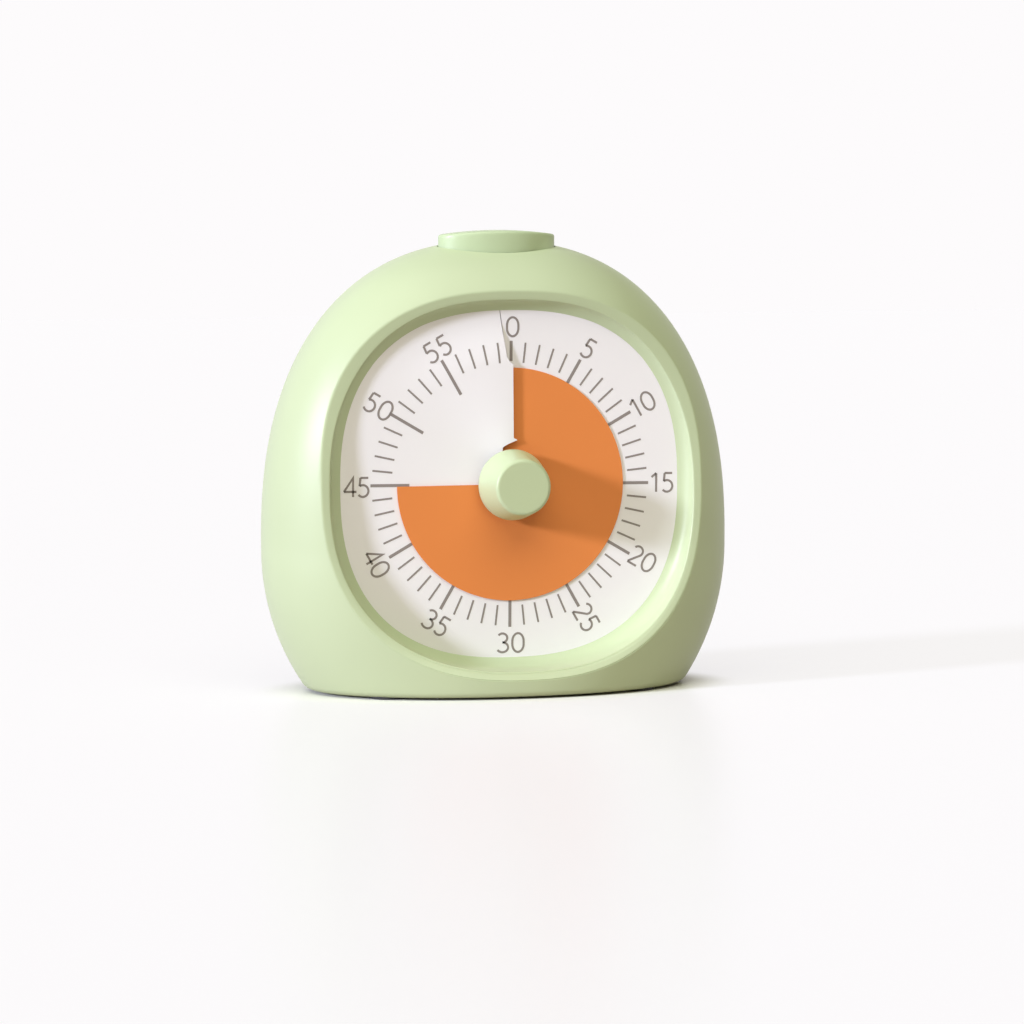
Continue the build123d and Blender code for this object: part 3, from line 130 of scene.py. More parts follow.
# print on the dial
TICK_OUTER = 30.0 * MM
TICK_INNER = 25.7 * MM
MAJOR_INNER = 21.9 * MM
MAJOR_OUTER = 30.25 * MM
ZERO_INNER = 26.0 * MM
TICK_WIDTH = 0.40 * MM
MAJOR_WIDTH = 0.64 * MM
NUMBER_RADIUS = 33.3 * MM
NUMBER_HEIGHT = 4.45 * MM
NUMBER_SPACE = 0.27           # in figure heights
STROKE_WIDTH = 0.46 * MM
PRINT_LIFT = 0.03 * MM
PRINT_TURN = 0.58             # degrees that the print is set round, clockwise

# time disc, wound to 45 minutes
DISC_RADIUS = 24.6 * MM
DISC_BORE = 4.1 * MM
DISC_SHEET = 0.2 * MM
DISC_LIFT = 0.08 * MM         # from the dial's face
DISC_CLIMB = 0.12 * MM        # further lift over each of its parts
SHOWN_ANGLE = 270

# knob: radii, and distances in front of the dial
KNOB_BASE = 7.5 * MM
KNOB_TIP = 5.95 * MM
KNOB_FRONT = 11.3 * MM
KNOB_GAP = 1.9 * MM
KNOB_EDGE = 0.78 * MM
KNOB_WALL = 1.5 * MM
KNOB_FACE = 2.2 * MM
KNOB_TUBE = 3.3 * MM
KNOB_BORE_FRONT = 3.1 * MM
SKIRT_EDGE = 0.3 * MM
SPINDLE = 2.02 * MM

# ---- helpers ------------------------------------------------------------------------------


def smooth_step(t):
    t = min(max(t, 0.0), 1.0)
    return t * t * (3 - 2 * t)


def active(name):
    """Names the object that an operator has just made."""
    piece = bpy.context.object
    piece.name = name
    piece.data.name = name
    return piece


def only(piece):
    """Selects one object and makes it active."""
    bpy.ops.object.select_all(action="DESELECT")
    piece.select_set(True)
    bpy.context.view_layer.objects.active = piece
    return piece


def settle(piece):
    """Puts the object's place into its mesh."""
    only(piece)
    bpy.ops.object.transform_apply(location=True, rotation=True, scale=True)
    return piece


def smooth(piece, angle=35):
    only(piece)
    bpy.ops.object.shade_smooth_by_angle(angle=radians(angle))
    return piece


def sheet(name, columns, rows, place):
    """Grid that faces the front, laid out by place(across, along), both from 0 to 1."""
    bpy.ops.mesh.primitive_grid_add(x_subdivisions=columns, y_subdivisions=rows, size=1)
    piece = active(name)
    for vertex in piece.data.vertices:
        vertex.co = place(vertex.co.x + 0.5, vertex.co.y + 0.5)
    piece.data.update()
    if piece.data.polygons[0].normal.y > 0:
        bpy.ops.object.mode_set(mode="EDIT")
        bpy.ops.mesh.select_all(action="SELECT")
        bpy.ops.mesh.flip_normals()
        bpy.ops.object.mode_set(mode="OBJECT")
    return piece


def ball(name, segments, rings, place):
    """Closed round body, laid out by place(turn, ring): ring 0 and the last one are its poles."""
    bpy.ops.mesh.primitive_uv_sphere_add(segments=segments, ring_count=rings, radius=1)
    piece = active(name)
    for vertex in piece.data.vertices:
        turn = atan2(vertex.co.y, vertex.co.x)
        ring = round((1 - acos(min(max(vertex.co.z, -1), 1)) / pi) * rings)
        vertex.co = place(turn, ring)
    return face_out(piece)


def face_out(piece):
    """Turns all faces of a closed mesh outwards."""
    only(piece)
    bpy.ops.object.mode_set(mode="EDIT")
    bpy.ops.mesh.select_all(action="SELECT")
    bpy.ops.mesh.normals_make_consistent(inside=False)
    bpy.ops.object.mode_set(mode="OBJECT")
    return piece


def combine(piece, tool, operation):
    """Boolean of two closed pieces, which uses the tool up."""
    only(piece)
    step = piece.modifiers.new("shape", "BOOLEAN")
    step.operation = operation
    step.solver = "EXACT"
    step.object = tool
    bpy.ops.object.modifier_apply(modifier=step.name)
    bpy.data.objects.remove(tool)
    return piece


def cut(piece, tool):
    return combine(piece, tool, "DIFFERENCE")


def cut_flat(piece, place, outward):
    """Cuts off what lies beyond a plane, and closes the cut."""
    only(piece)
    bpy.ops.object.mode_set(mode="EDIT")
    bpy.ops.mesh.select_all(action="SELECT")
    bpy.ops.mesh.bisect(plane_co=place, plane_no=outward, use_fill=True, clear_outer=True)
    bpy.ops.object.mode_set(mode="OBJECT")
    return piece


def round_bar(radius, start, end, sides=32):
    """Cylinder between two points, for cutting."""
    axis = Vector(end) - Vector(start)
    turn = axis.to_track_quat("Z", "Y").to_euler()
    bpy.ops.mesh.primitive_cylinder_add(vertices=sides, radius=radius, depth=axis.length,
                                        location=(Vector(start) + Vector(end)) / 2, rotation=turn)
    return settle(active("bar"))


def brick(low, high):
    """Box between two corners, for cutting."""
    low, high = Vector(low), Vector(high)
    bpy.ops.mesh.primitive_cube_add(size=1, location=(low + high) / 2, scale=high - low)
    return settle(active("brick"))


def clock(radius, angle, forward=0.0):
    """Point at a dial angle, so far in front of the dial's face."""
    turn = radians(angle)
    return DIAL_CENTRE + Vector((radius * sin(turn), -forward, radius * cos(turn)))


def finished(piece, body, material, node=None):
    """Gives a piece its material and body, and hides the node that it stands for."""
    piece.data.materials.clear()
    piece.data.materials.append(material)
    if body:
        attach(piece, body)
    if node:
        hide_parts(node)
    return piece


# ---- materials ----------------------------------------------------------------------------


def linear(colour):
    """Colour as seen, 0 to 255, as the shader's linear values."""
    return tuple(((c / 255 + 0.055) / 1.055) ** 2.4 if c > 10 else c / 255 / 12.92 for c in colour)


def shader(name):
    material = bpy.data.materials.new(name)
    material.use_nodes = True
    nodes = material.node_tree.nodes
    return material, nodes, material.node_tree.links, nodes["Principled BSDF"]


def speckle(nodes, links, scale, detail=3.0, rough=0.6):
    """Noise on the piece's own coordinates."""
    place = nodes.new("ShaderNodeTexCoord")
    noise = nodes.new("ShaderNodeTexNoise")
    noise.inputs["Scale"].default_value = scale
    noise.inputs["Detail"].default_value = detail
    noise.inputs["Roughness"].default_value = rough
    links.new(place.outputs["Object"], noise.inputs["Vector"])
    return noise


def shades(nodes, links, noise, dark, light):
    """Two colours mixed by a noise."""
    ramp = nodes.new("ShaderNodeValToRGB")
    ramp.color_ramp.elements[0].position = 0.35
    ramp.color_ramp.elements[0].color = (*dark, 1)
    ramp.color_ramp.elements[1].position = 0.65
    ramp.color_ramp.elements[1].color = (*light, 1)
    links.new(noise.outputs["Fac"], ramp.inputs["Fac"])
    return ramp


def grain(nodes, links, surface, noise, strength, distance):
    bump = nodes.new("ShaderNodeBump")
    bump.inputs["Strength"].default_value = strength
    bump.inputs["Distance"].default_value = distance
    links.new(noise.outputs["Fac"], bump.inputs["Height"])
    links.new(bump.outputs["Normal"], surface.inputs["Normal"])


def moulded(name, colour, roughness=0.5, variation=0.015, texture=0.12, scale=9000, sheen=0.0):
    """Moulded plastic with a fine spark-eroded skin and a faint drift of colour."""
    material, nodes, links, surface = shader(name)
    base = linear(colour)
    drift = speckle(nodes, links, 40.0, 2.0)
    dark = tuple(c * (1 - variation) for c in base)
    light = tuple(min(c * (1 + variation), 1) for c in base)
    ramp = shades(nodes, links, drift, dark, light)
    links.new(ramp.outputs["Color"], surface.inputs["Base Color"])
    skin = speckle(nodes, links, scale, 2.0)
    grain(nodes, links, surface, skin, texture, 0.02 * MM)
    surface.inputs["Roughness"].default_value = roughness
    surface.inputs["IOR"].default_value = 1.46
    surface.inputs["Sheen Weight"].default_value = sheen
    return material


def metal(name, colour, roughness=0.3, streaks=60.0):
    """Plated or drawn metal with fine streaks along it."""
    material, nodes, links, surface = shader(name)
    noise = speckle(nodes, links, streaks * 40, 4.0)
    base = linear(colour)
    ramp = shades(nodes, links, noise, tuple(c * 0.86 for c in base), base)
    links.new(ramp.outputs["Color"], surface.inputs["Base Color"])
    grain(nodes, links, surface, noise, 0.15, 0.01 * MM)
    surface.inputs["Metallic"].default_value = 1.0
    surface.inputs["Roughness"].default_value = roughness
    return material


CASE_GREEN = moulded("case_green", (186, 199, 160), roughness=0.42)
KNOB_GREEN = moulded("knob_green", (188, 202, 160), roughness=0.38)
BUTTON_GREEN = moulded("button_green", (184, 201, 160), roughness=0.4)
DIAL_WHITE = moulded("dial_white", (240, 238, 239), roughness=0.6, variation=0.006, texture=0.05)
DIAL_INK = moulded("dial_ink", (140, 132, 127), roughness=0.6, variation=0.03, texture=0.05)
DISC_ORANGE = moulded("disc_orange", (226, 134, 65), roughness=0.62, variation=0.012, texture=0.08)
WHITE_PLASTIC = moulded("white_plastic", (226, 226, 221), roughness=0.5)
ACETAL = moulded("acetal", (236, 233, 222), roughness=0.35)
DARK_PLASTIC = moulded("dark_plastic", (34, 34, 36), roughness=0.45)
PAD_RUBBER = moulded("pad_rubber", (58, 58, 58), roughness=0.8, texture=0.3, scale=3000)
CHIP_BLACK = moulded("chip_black", (22, 22, 24), roughness=0.35)
LEAD_SKIN = moulded("lead_skin", (176, 38, 32), roughness=0.4, variation=0.04)
BOARD_GREEN = moulded("board_green", (30, 92, 50), roughness=0.3, variation=0.08)
CELL_SKIN = moulded("cell_skin", (52, 88, 78), roughness=0.3, variation=0.03)
ZINC = metal("zinc", (196, 197, 200), roughness=0.32)
BRIGHT_STEEL = metal("bright_steel", (205, 205, 207), roughness=0.22)
NICKEL = metal("nickel", (212, 208, 200), roughness=0.18)
BRASS = metal("brass", (205, 170, 100), roughness=0.28)

NODE_MATERIALS = {
    "rear_case": CASE_GREEN, "battery_door": CASE_GREEN, "front_case": CASE_GREEN,
    "foot_pads": PAD_RUBBER, "case_screws": ZINC, "carrier_screws": ZINC, "movement_screws": ZINC,
    "board_screws": ZINC, "button_screws": ZINC, "knob": KNOB_GREEN, "top_button": BUTTON_GREEN,
    "dial_plate": DIAL_WHITE, "time_disc": DISC_ORANGE, "dial_carrier": WHITE_PLASTIC,
    "disc_hub": WHITE_PLASTIC, "spindle": BRIGHT_STEEL, "stop_ring": ACETAL, "drive_wheel": ACETAL,
    "transfer_pinion": ACETAL, "transfer_wheel": ACETAL, "transfer_arbor": BRIGHT_STEEL,
    "clutch_spring": NICKEL, "clutch_clip": NICKEL, "motor_pinion": BRASS,
    "motor_shaft": BRIGHT_STEEL, "motor_can": ZINC, "movement_front_housing": WHITE_PLASTIC,
    "movement_rear_housing": WHITE_PLASTIC, "circuit_board": BOARD_GREEN,
    "button_board": BOARD_GREEN, "control_chip": CHIP_BLACK, "buzzer": DARK_PLASTIC,
    "sound_switch_body": DARK_PLASTIC, "sound_slider": DARK_PLASTIC, "button_switch": DARK_PLASTIC,
    "button_spring": NICKEL, "battery_springs": NICKEL, "battery_contacts": NICKEL,
    "batteries": CELL_SKIN, "battery_leads": LEAD_SKIN, "button_leads": LEAD_SKIN,
    "motor_leads": LEAD_SKIN,
}
for node, material in NODE_MATERIALS.items():
    mesh = frame["nodes"][node].data
    mesh.materials.clear()
    mesh.materials.append(material)

body_of = {}
for body, members in frame["record"]["behaviour"]["bodies"].items():
    for member in members:
        body_of[member] = body


def polished(node, angle=30):
    """Smooth-shaded copy of a node, with its loose triangles joined."""
    piece = frame["nodes"][node].copy()
    piece.data = piece.data.copy()
    piece.name = node + "_skin"
    piece.parent = None
    bpy.context.collection.objects.link(piece)
    for key in list(piece.keys()):
        del piece[key]
    only(piece)
    bpy.ops.object.mode_set(mode="EDIT")
    bpy.ops.mesh.select_all(action="SELECT")
    bpy.ops.mesh.remove_doubles(threshold=0.000001)
    bpy.ops.object.mode_set(mode="OBJECT")
    smooth(piece, angle)
    return finished(piece, body_of[node], NODE_MATERIALS[node], node)


# ---- body ---------------------------------------------------------------------------------


def half_section(height, half, fall, exponent, inset):
    """Half-width or half-depth of the pebble at a height."""
    size = half - inset
    if height < WAIST_HEIGHT:
        drop = (WAIST_HEIGHT - height) / fall
        return size * sqrt(1 - drop**2)
    rise = (height - WAIST_HEIGHT) / (CROWN_HEIGHT - inset - WAIST_HEIGHT)
    return size * max(1 - rise**exponent, 0.0) ** (1 / exponent)


def half_width(height, inset=0.0):
    return half_section(height, CASE_HALF_WIDTH, SIDE_FALL, SIDE_EXPONENT, inset)


def half_depth(height, inset=0.0):
    return half_section(height, CASE_HALF_DEPTH, FRONT_FALL, DEPTH_EXPONENT, inset)


def level_exponent(height):
    rise = max(height - WAIST_HEIGHT, 0) / (CROWN_HEIGHT - WAIST_HEIGHT)
    return LEVEL_EXPONENT + (CROWN_EXPONENT - LEVEL_EXPONENT) * rise


def power(value, exponent):
    return copysign(abs(value) ** exponent, value)


def pebble(name, segments, side_rings, crown_rings, inset, edge):
    """Pebble with a flat base, smaller by the inset, with a round edge under it."""
    bottom = CASE_BOTTOM + inset
    crown = CROWN_HEIGHT - inset
    levels = [(bottom, 0, 0.0), (bottom, edge, BASE_RING)]
    edge_rings = 6
    for k in range(edge_rings):
        lean = radians(90 * k / edge_rings)
        levels.append((bottom + edge * (1 - cos(lean)), edge * (1 - sin(lean)), 1.0))
    side_start = bottom + edge
    for k in range(side_rings):
        levels.append((side_start + (WAIST_HEIGHT - side_start) * k / side_rings, 0, 1.0))
    for k in range(crown_rings + 1):
        rise = sin(radians(90 * k / crown_rings))
        levels.append((WAIST_HEIGHT + (crown - WAIST_HEIGHT) * rise, 0, 1.0))

    def place(turn, ring):
        height, back, share = levels[ring]
        exponent = 2 / level_exponent(height)
        x = (half_width(height, inset) - back) * share * power(cos(turn), exponent)
        y = (half_depth(height, inset) - back) * share * power(sin(turn), exponent)
        return Vector((x, CASE_MIDDLE + y, height))
    return ball(name, segments, len(levels) - 1, place)


def land_y(height):
    """Y of the rim's land, which is straight across: where the rim's outline meets the pebble."""
    reach = min(abs(height - DIAL_Z - RIM_RAISE) / RIM_HALF_HEIGHT, 1.0)
    rim_x = RIM_HALF_WIDTH * (1 - reach**DIAL_EXPONENT) ** (1 / DIAL_EXPONENT)
    exponent = level_exponent(height)
    share = 1 - (rim_x / half_width(height)) ** exponent
    return CASE_MIDDLE - half_depth(height) * share ** (1 / exponent)


def rounded_square(half_x, half_z, turn):
    """Distance from its middle to the outline of a rounded square."""
    across = (abs(cos(turn)) / half_x) ** DIAL_EXPONENT
    up = (abs(sin(turn)) / half_z) ** DIAL_EXPONENT
    return (across + up) ** (-1 / DIAL_EXPONENT)


def opening_profile(turn):
    """The opening's section at a turn: distance from the dial's axis, Y and raise of each point."""
    flare_x = RIM_HALF_WIDTH - LAND_WIDTH - OPENING_HALF
    flare_z = RIM_HALF_HEIGHT - LAND_WIDTH - OPENING_HALF
    rise = sin(turn)

    def wall(forward):
        share = 1 - exp(-max(forward, 0) / FLARE_DEPTH)
        radius = rounded_square(OPENING_HALF + flare_x * share, OPENING_HALF + flare_z * share, turn)
        return radius, RIM_RAISE * share

    # the wall's foot and the land's place depend on each other, and a few rounds settle both
    depth = 3 * MM
    for k in range(8):
        radius, raised = wall(depth)
        depth = DIAL_Y - land_y(DIAL_Z + raised + radius * rise)
    points = [(0.0, DIAL_Y + CUT_BACK, 0.0), (OPENING_HALF * 0.5, DIAL_Y + CUT_BACK, 0.0)]
    radius, raised = wall(0)
    points.append((radius, DIAL_Y + CUT_BACK, 0.0))
    wall_rings = 14
    for k in range(wall_rings + 1):
        forward = (depth - INNER_ROUND) * (k / wall_rings) ** 1.6
        radius, raised = wall(forward)
        points.append((radius, DIAL_Y - forward, raised))
    foot = points[-1]
    round_rings = 5
    for k in range(1, round_rings + 1):
        lean = radians(90 * k / round_rings)
        radius = foot[0] + INNER_ROUND * (1 - cos(lean))
        points.append((radius, foot[1] - INNER_ROUND * sin(lean), raised))
    inner = points[-1]
    outer = rounded_square(RIM_HALF_WIDTH, RIM_HALF_HEIGHT, turn)
    land_rings = 5
    for k in range(1, land_rings + 1):
        radius = inner[0] + (outer - OUTER_EASE - inner[0]) * k / land_rings
        raised = inner[2] + (RIM_RAISE - inner[2]) * k / land_rings
        points.append((radius, land_y(DIAL_Z + raised + radius * rise), raised))
    ease_rings = 6
    for k in range(1, ease_rings + 1):
        beyond = OUTER_EASE * (k / 4 - 1)
        height = DIAL_Z + RIM_RAISE + min(outer + beyond, outer) * rise
        eased = EASE_RISE * (beyond + OUTER_EASE) ** 2
        points.append((outer + beyond, land_y(height) + eased, RIM_RAISE))
    edge = points[-1]
    points.append((edge[0] + CUT_BEYOND, edge[1] - CUT_FORWARD, RIM_RAISE))
    points.append((edge[0] + CUT_BEYOND, -FAR, RIM_RAISE))
    points.append((0.0, -FAR, 0.0))
    return points


profiles = {}


def opening_point(turn, ring):
    key = round(degrees(turn) * 100)
    if key not in profiles:
        profiles[key] = opening_profile(turn)
    radius, y, raised = profiles[key][ring]
    return Vector((radius * cos(turn), y, DIAL_Z + raised + radius * sin(turn)))


def case_room():
    """The hollow behind the dial, with the bosses and the button's bar left standing."""
    room = pebble("room", segments=96, side_rings=12, crown_rings=24, inset=WALL, edge=0.6 * MM)
    cut_flat(room, (0, DIAL_Y - 0.02 * MM, 0), (0, -1, 0))
    for side in (-1, 1):
        x, z = LOW_BOSS
        cut(room, round_bar(BOSS_RADIUS, (side * x, LOW_BOSS_FRONT, z), (side * x, SEAM, z)))
        x, z = HIGH_BOSS
        cut(room, round_bar(BOSS_RADIUS, (side * x, HIGH_BOSS_FRONT, z), (side * x, SEAM, z)))
        inner, outer = sorted((side * x, side * FAR))
        cut(room, brick((inner, HIGH_BOSS_FRONT, z - BOSS_RIB / 2), (outer, RIB_BACK, z + BOSS_RIB / 2)))
    cut(room, brick((-FAR, BUTTON_Y - BAR_HALF_DEPTH, BAR_LOW), (FAR, BUTTON_Y + BAR_HALF_DEPTH, BAR_HIGH)))
    return room


def button_shaft(grow):
    """Oval shaft of the top button, for cutting."""
    shaft = round_bar(1.0, (0, 0, 0), (0, 0, 1), 96)
    for vertex in shaft.data.vertices:
        vertex.co.x *= BUTTON_HALF_WIDTH + grow
        vertex.co.y = BUTTON_Y + vertex.co.y * (BUTTON_HALF_DEPTH + grow)
        vertex.co.z = SHAFT_MIDDLE + vertex.co.z * SHAFT_LENGTH
    return shaft


front = pebble("front_case_skin", segments=256, side_rings=26, crown_rings=72, inset=0.0, edge=BASE_EDGE)
cut_flat(front, (0, SEAM - SEAM_GROOVE, 0), (0, 1, 0))
cut(front, ball("opening", 256, len(opening_profile(0)) - 1, opening_point))
cut(front, case_room())
cut(front, button_shaft(BUTTON_GAP))
for x, y in FOOT_PLACES:
    cut(front, round_bar(FOOT_RADIUS, (x, y, -1 * MM), (x, y, FOOT_RECESS)))
smooth(front, 32)
finished(front, "case", CASE_GREEN, "front_case")

SKIN_NEAR = 0.007             # share of the pebble's size within which a point is on its skin
SKIN_LOW = 6 * MM             # below this the skin runs into the round base edge
SKIN_TURN = cos(radians(35))
STEP = 0.01 * MM


def skin_level(point):
    """0 on the pebble's skin, and less inside it."""
    exponent = level_exponent(point.z)
    across = abs(point.x / half_width(point.z)) ** exponent
    back = abs((point.y - CASE_MIDDLE) / half_depth(point.z)) ** exponent
    return (across + back) ** (1 / exponent) - 1


def skin_normal(point):
    steps = Matrix.Identity(3) * STEP
    return Vector([skin_level(point + step) - skin_level(point - step) for step in steps]).normalized()


def true_normal(point, facing):
    """The body's normal at a point of its flat back or of the pebble's skin, for a face that shows it."""
    if point.y > BACK_Y - STEP:
        normal = Vector((0, 1, 0))
    elif SKIN_LOW < point.z < CROWN_HEIGHT - 5 * STEP and abs(skin_level(point)) < SKIN_NEAR:
        normal = skin_normal(point)
    else:
        return None
    return normal if normal.dot(facing) > SKIN_TURN else None


def even_skin(piece):
    """Shades the body by its true shape, right up to the holes in it."""
    mesh = piece.data
    normals = [corner.vector.copy() for corner in mesh.corner_normals]
    for face in mesh.polygons:
        for corner in face.loop_indices:
            place = mesh.vertices[mesh.loops[corner].vertex_index].co
            normals[corner] = true_normal(place, face.normal) or normals[corner]
    mesh.normals_split_custom_set(normals)


for node in ("rear_case", "battery_door", "top_button", "foot_pads", "batteries", "case_screws"):
    piece = polished(node)
    if node in ("rear_case", "battery_door"):
        even_skin(piece)

# ---- dial ---------------------------------------------------------------------------------


def lip_height(radius, angle):
    """Lift of the dial's left lip in front of the flat sheet."""
    along = smooth_step((angle - LIP_START) / (360 - LIP_START))
    fade = 1 - smooth_step((radius - LIP_FADE_START) / (LIP_FADE_END - LIP_FADE_START))
    return LIP_RISE * along * fade


# the slit from the knob's hole to the dial's top edge: distance from the axis, and X, in millimetres
SLIT = [(0.0, -1.95), (7.0, -1.95), (8.05, -1.85), (9.35, 1.3), (9.55, 1.2), (9.8, 0.55), (25.4, 0.55),
        (25.9, -0.2), (26.9, -0.8), (38.7, -2.4)]
DIAL_RINGS = [5.0, 6.2, 7.0, 7.5, 8.05, 8.3, 8.6, 8.9, 9.2, 9.35, 9.55, 9.8, 10.5, 12.0, 14.0, 16.0, 18.0,
              20.0, 22.0, 24.0, 25.0, 25.4, 25.65, 25.9, 26.4, 26.9, 28.0, 29.5, 31.0, 33.0]
EDGE_RINGS = 4
SLIT_GAP = 0.15               # degrees from the slit's line to each lip


def slit_angle(radius):
    """Dial angle of the slit at a radius."""
    height = radius / MM
    for (low, left), (high, right) in zip(SLIT, SLIT[1:]):
        if height <= high:
            x = left + (right - left) * (height - low) / (high - low)
            return degrees(atan2(x, height))
    return degrees(atan2(SLIT[-1][1], height))


def lift_at(radius, angle):
    """Lift of the dial's face at any point of it."""
    slit = slit_angle(radius)
    return lip_height(radius, (angle - slit) % 360 + slit)


def dial_edge(angle):
    """Radius of the rounded square at a dial angle."""
    return rounded_square(DIAL_HALF, DIAL_HALF, radians(90 - angle))


def dial_point(across, along):
    ring = round(across * (len(DIAL_RINGS) - 1 + EDGE_RINGS))
    if ring < len(DIAL_RINGS):
        radius = DIAL_RINGS[ring] * MM
    else:
        last = DIAL_RINGS[-1] * MM
        radius = last + (dial_edge(360 * along) - last) * (ring - len(DIAL_RINGS) + 1) / EDGE_RINGS
    near_slit = 1 - 2 * min(along, 1 - along)
    angle = SLIT_GAP + (360 - 2 * SLIT_GAP) * along + slit_angle(radius) * near_slit
    return clock(radius, angle, lift_at(radius, angle))


def give_wall(piece, thickness, offset):
    """Gives a sheet its thickness, with crisp edges."""
    mesh = bmesh.new()
    mesh.from_mesh(piece.data)
    for edge in mesh.edges:
        edge.smooth = not edge.is_boundary
    for face in mesh.faces:
        face.smooth = True
    mesh.to_mesh(piece.data)
    mesh.free()
    wall = piece.modifiers.new("thickness", "SOLIDIFY")
    wall.thickness = thickness
    wall.offset = offset
    return wall


dial = sheet("dial_face", len(DIAL_RINGS) - 1 + EDGE_RINGS, 240, dial_point)
wall = give_wall(dial, SHEET, -1)
only(dial)
bpy.ops.object.modifier_apply(modifier=wall.name)
smooth(dial, 40)
finished(dial, "case", DIAL_WHITE, "dial_plate")


def on_dial(piece):
    """Lays a flat piece of print on the dial's face, over the lip too."""
    for vertex in piece.data.vertices:
        across = vertex.co.x
        up = vertex.co.z - DIAL_Z
        radius = sqrt(across**2 + up**2)
        angle = (degrees(atan2(across, up)) + PRINT_TURN) % 360
        vertex.co = clock(radius, angle, lift_at(radius, angle) + PRINT_LIFT)
    return piece


def tick(angle, inner, outer, width):
    def place(across, along):
        radius = inner + (outer - inner) * along
        mark = Vector(((across - 0.5) * width, 0, radius))
        turned = Matrix.Rotation(radians(angle), 3, "Y") @ mark
        return DIAL_CENTRE + turned
    return on_dial(sheet("tick", 1, 8, place))


marks = []
for minute in range(60):
    if minute == 0:
        marks.append(tick(0, ZERO_INNER, MAJOR_OUTER, MAJOR_WIDTH))
    elif minute % 5 == 0:
        marks.append(tick(6 * minute, MAJOR_INNER, MAJOR_OUTER, MAJOR_WIDTH))
    else:
        marks.append(tick(6 * minute, TICK_INNER, TICK_OUTER, TICK_WIDTH))

# how far each number is turned, in degrees, and set to the right and up of its place, in millimetres
NUMBERS = {0: (0, 0.33, -0.11), 5: (30, 0.22, -0.32), 10: (-30, 0.11, 0.11), 15: (0, 0.0, 0.0),
           20: (30, 0.33, 0.32), 25: (60, 0.11, 0.32), 30: (0, 0.22, -0.32), 35: (30, 0.54, -0.21),
           40: (60, -0.05, 0.4), 45: (0, 0.0, -0.32), 50: (30, 0.4, -0.15), 55: (-30, 0.65, -0.32)}


def bow(middle, half_x, half_y, start, end, steps=24):
    """Points of an oval arc, from one angle to another."""
    turns = [radians(start + (end - start) * k / steps) for k in range(steps + 1)]
    return [(middle[0] + half_x * cos(t), middle[1] + half_y * sin(t)) for t in turns]


# strokes of each figure in a box one unit high, with the width that the figure takes up
FIGURES = {
    "0": (0.92, [bow((0.32, 0.57), 0.31, 0.43, 0, 180) + bow((0.32, 0.43), 0.31, 0.43, 180, 360)
                 + [(0.63, 0.57)]]),
    "1": (0.63, [[(0.0, 0.79), (0.265, 1.0)], [(0.26, 0.995), (0.26, 0.0)]]),
    "2": (0.76, [bow((0.27, 0.74), 0.27, 0.26, 155, -35) + [(0.02, 0.03)], [(0.0, 0.0), (0.56, 0.0)]]),
    "3": (0.80, [bow((0.27, 0.76), 0.26, 0.24, 145, -90), bow((0.27, 0.26), 0.31, 0.26, 90, -150)]),
    "4": (0.78, [[(0.49, 0.0), (0.49, 1.0), (0.0, 0.27)], [(0.0, 0.27), (0.67, 0.27)]]),
    "5": (0.80, [[(0.52, 1.0), (0.10, 1.0)], [(0.10, 1.0), (0.06, 0.575)],
                 bow((0.23, 0.31), 0.30, 0.31, 126, -140)]),
}


def stroke(points, width, height):
    """Ribbon along a line of points, with mitred corners."""
    line = [Vector((x, 0, z)) for x, z in points]
    sides = []
    for k, at in enumerate(line):
        before = (at - line[max(k - 1, 0)]).normalized()
        after = (line[min(k + 1, len(line) - 1)] - at).normalized()
        along = (before + after).normalized()
        lean = max(along.dot(after if k == 0 else before), 0.35)
        sides.append(Vector((-along.z, 0, along.x)) / lean)

    def place(across, run):
        k = round(run * (len(line) - 1))
        return line[k] * height + sides[k] * width * (across - 0.5)
    return sheet("stroke", 1, len(line) - 1, place)


def number(minute, turn, right, up):
    """A number of the dial, made of strokes and laid on its face."""
    figures = [FIGURES[figure] for figure in str(minute)]
    span = sum(width for width, lines in figures[:-1]) + figures[-1][0] - NUMBER_SPACE
    spun = Matrix.Rotation(radians(turn), 4, "Y")
    centre = clock(NUMBER_RADIUS, 6 * minute) + Vector((right * MM, 0, up * MM))
    pen = -span / 2
    for width, lines in figures:
        for line in lines:
            points = [(x + pen, z - 0.5) for x, z in line]
            ribbon = stroke(points, STROKE_WIDTH, NUMBER_HEIGHT - STROKE_WIDTH)
            ribbon.data.transform(Matrix.Translation(centre) @ spun)
            marks.append(on_dial(ribbon))
        pen += width


for minute, (turn, right, up) in NUMBERS.items():
    number(minute, turn, right, up)

only(marks[0])
for mark in marks:
    mark.select_set(True)
bpy.ops.object.join()
dial_print = active("dial_print")
finished(dial_print, "case", DIAL_INK)

# ---- time disc ----------------------------------------------------------------------------


def climb(share):
    """Height share at which a smooth step between two heights is this share of the way."""
    return 0.5 - sin(asin(1 - 2 * share) / 3)


def disc_sector(name, start, end, low, high, steps, reach=0.0):
    """Part of the disc, laid out as a fan from one dial angle to another and climbing in height; reach
    follows the slit.
    """
    def place(across, along):
        radius = DISC_BORE + (DISC_RADIUS - DISC_BORE) * across
        lead_in = min(slit_angle(radius), 0) * reach * (1 - along) ** 4
        angle = start + (end - start) * along + lead_in
        return clock(radius, angle, low + (high - low) * climb(along))
    piece = sheet(name, 24, steps, place)
    give_wall(piece, DISC_SHEET, 0)
    finished(piece, None, DISC_ORANGE)
    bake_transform(piece)
    return piece


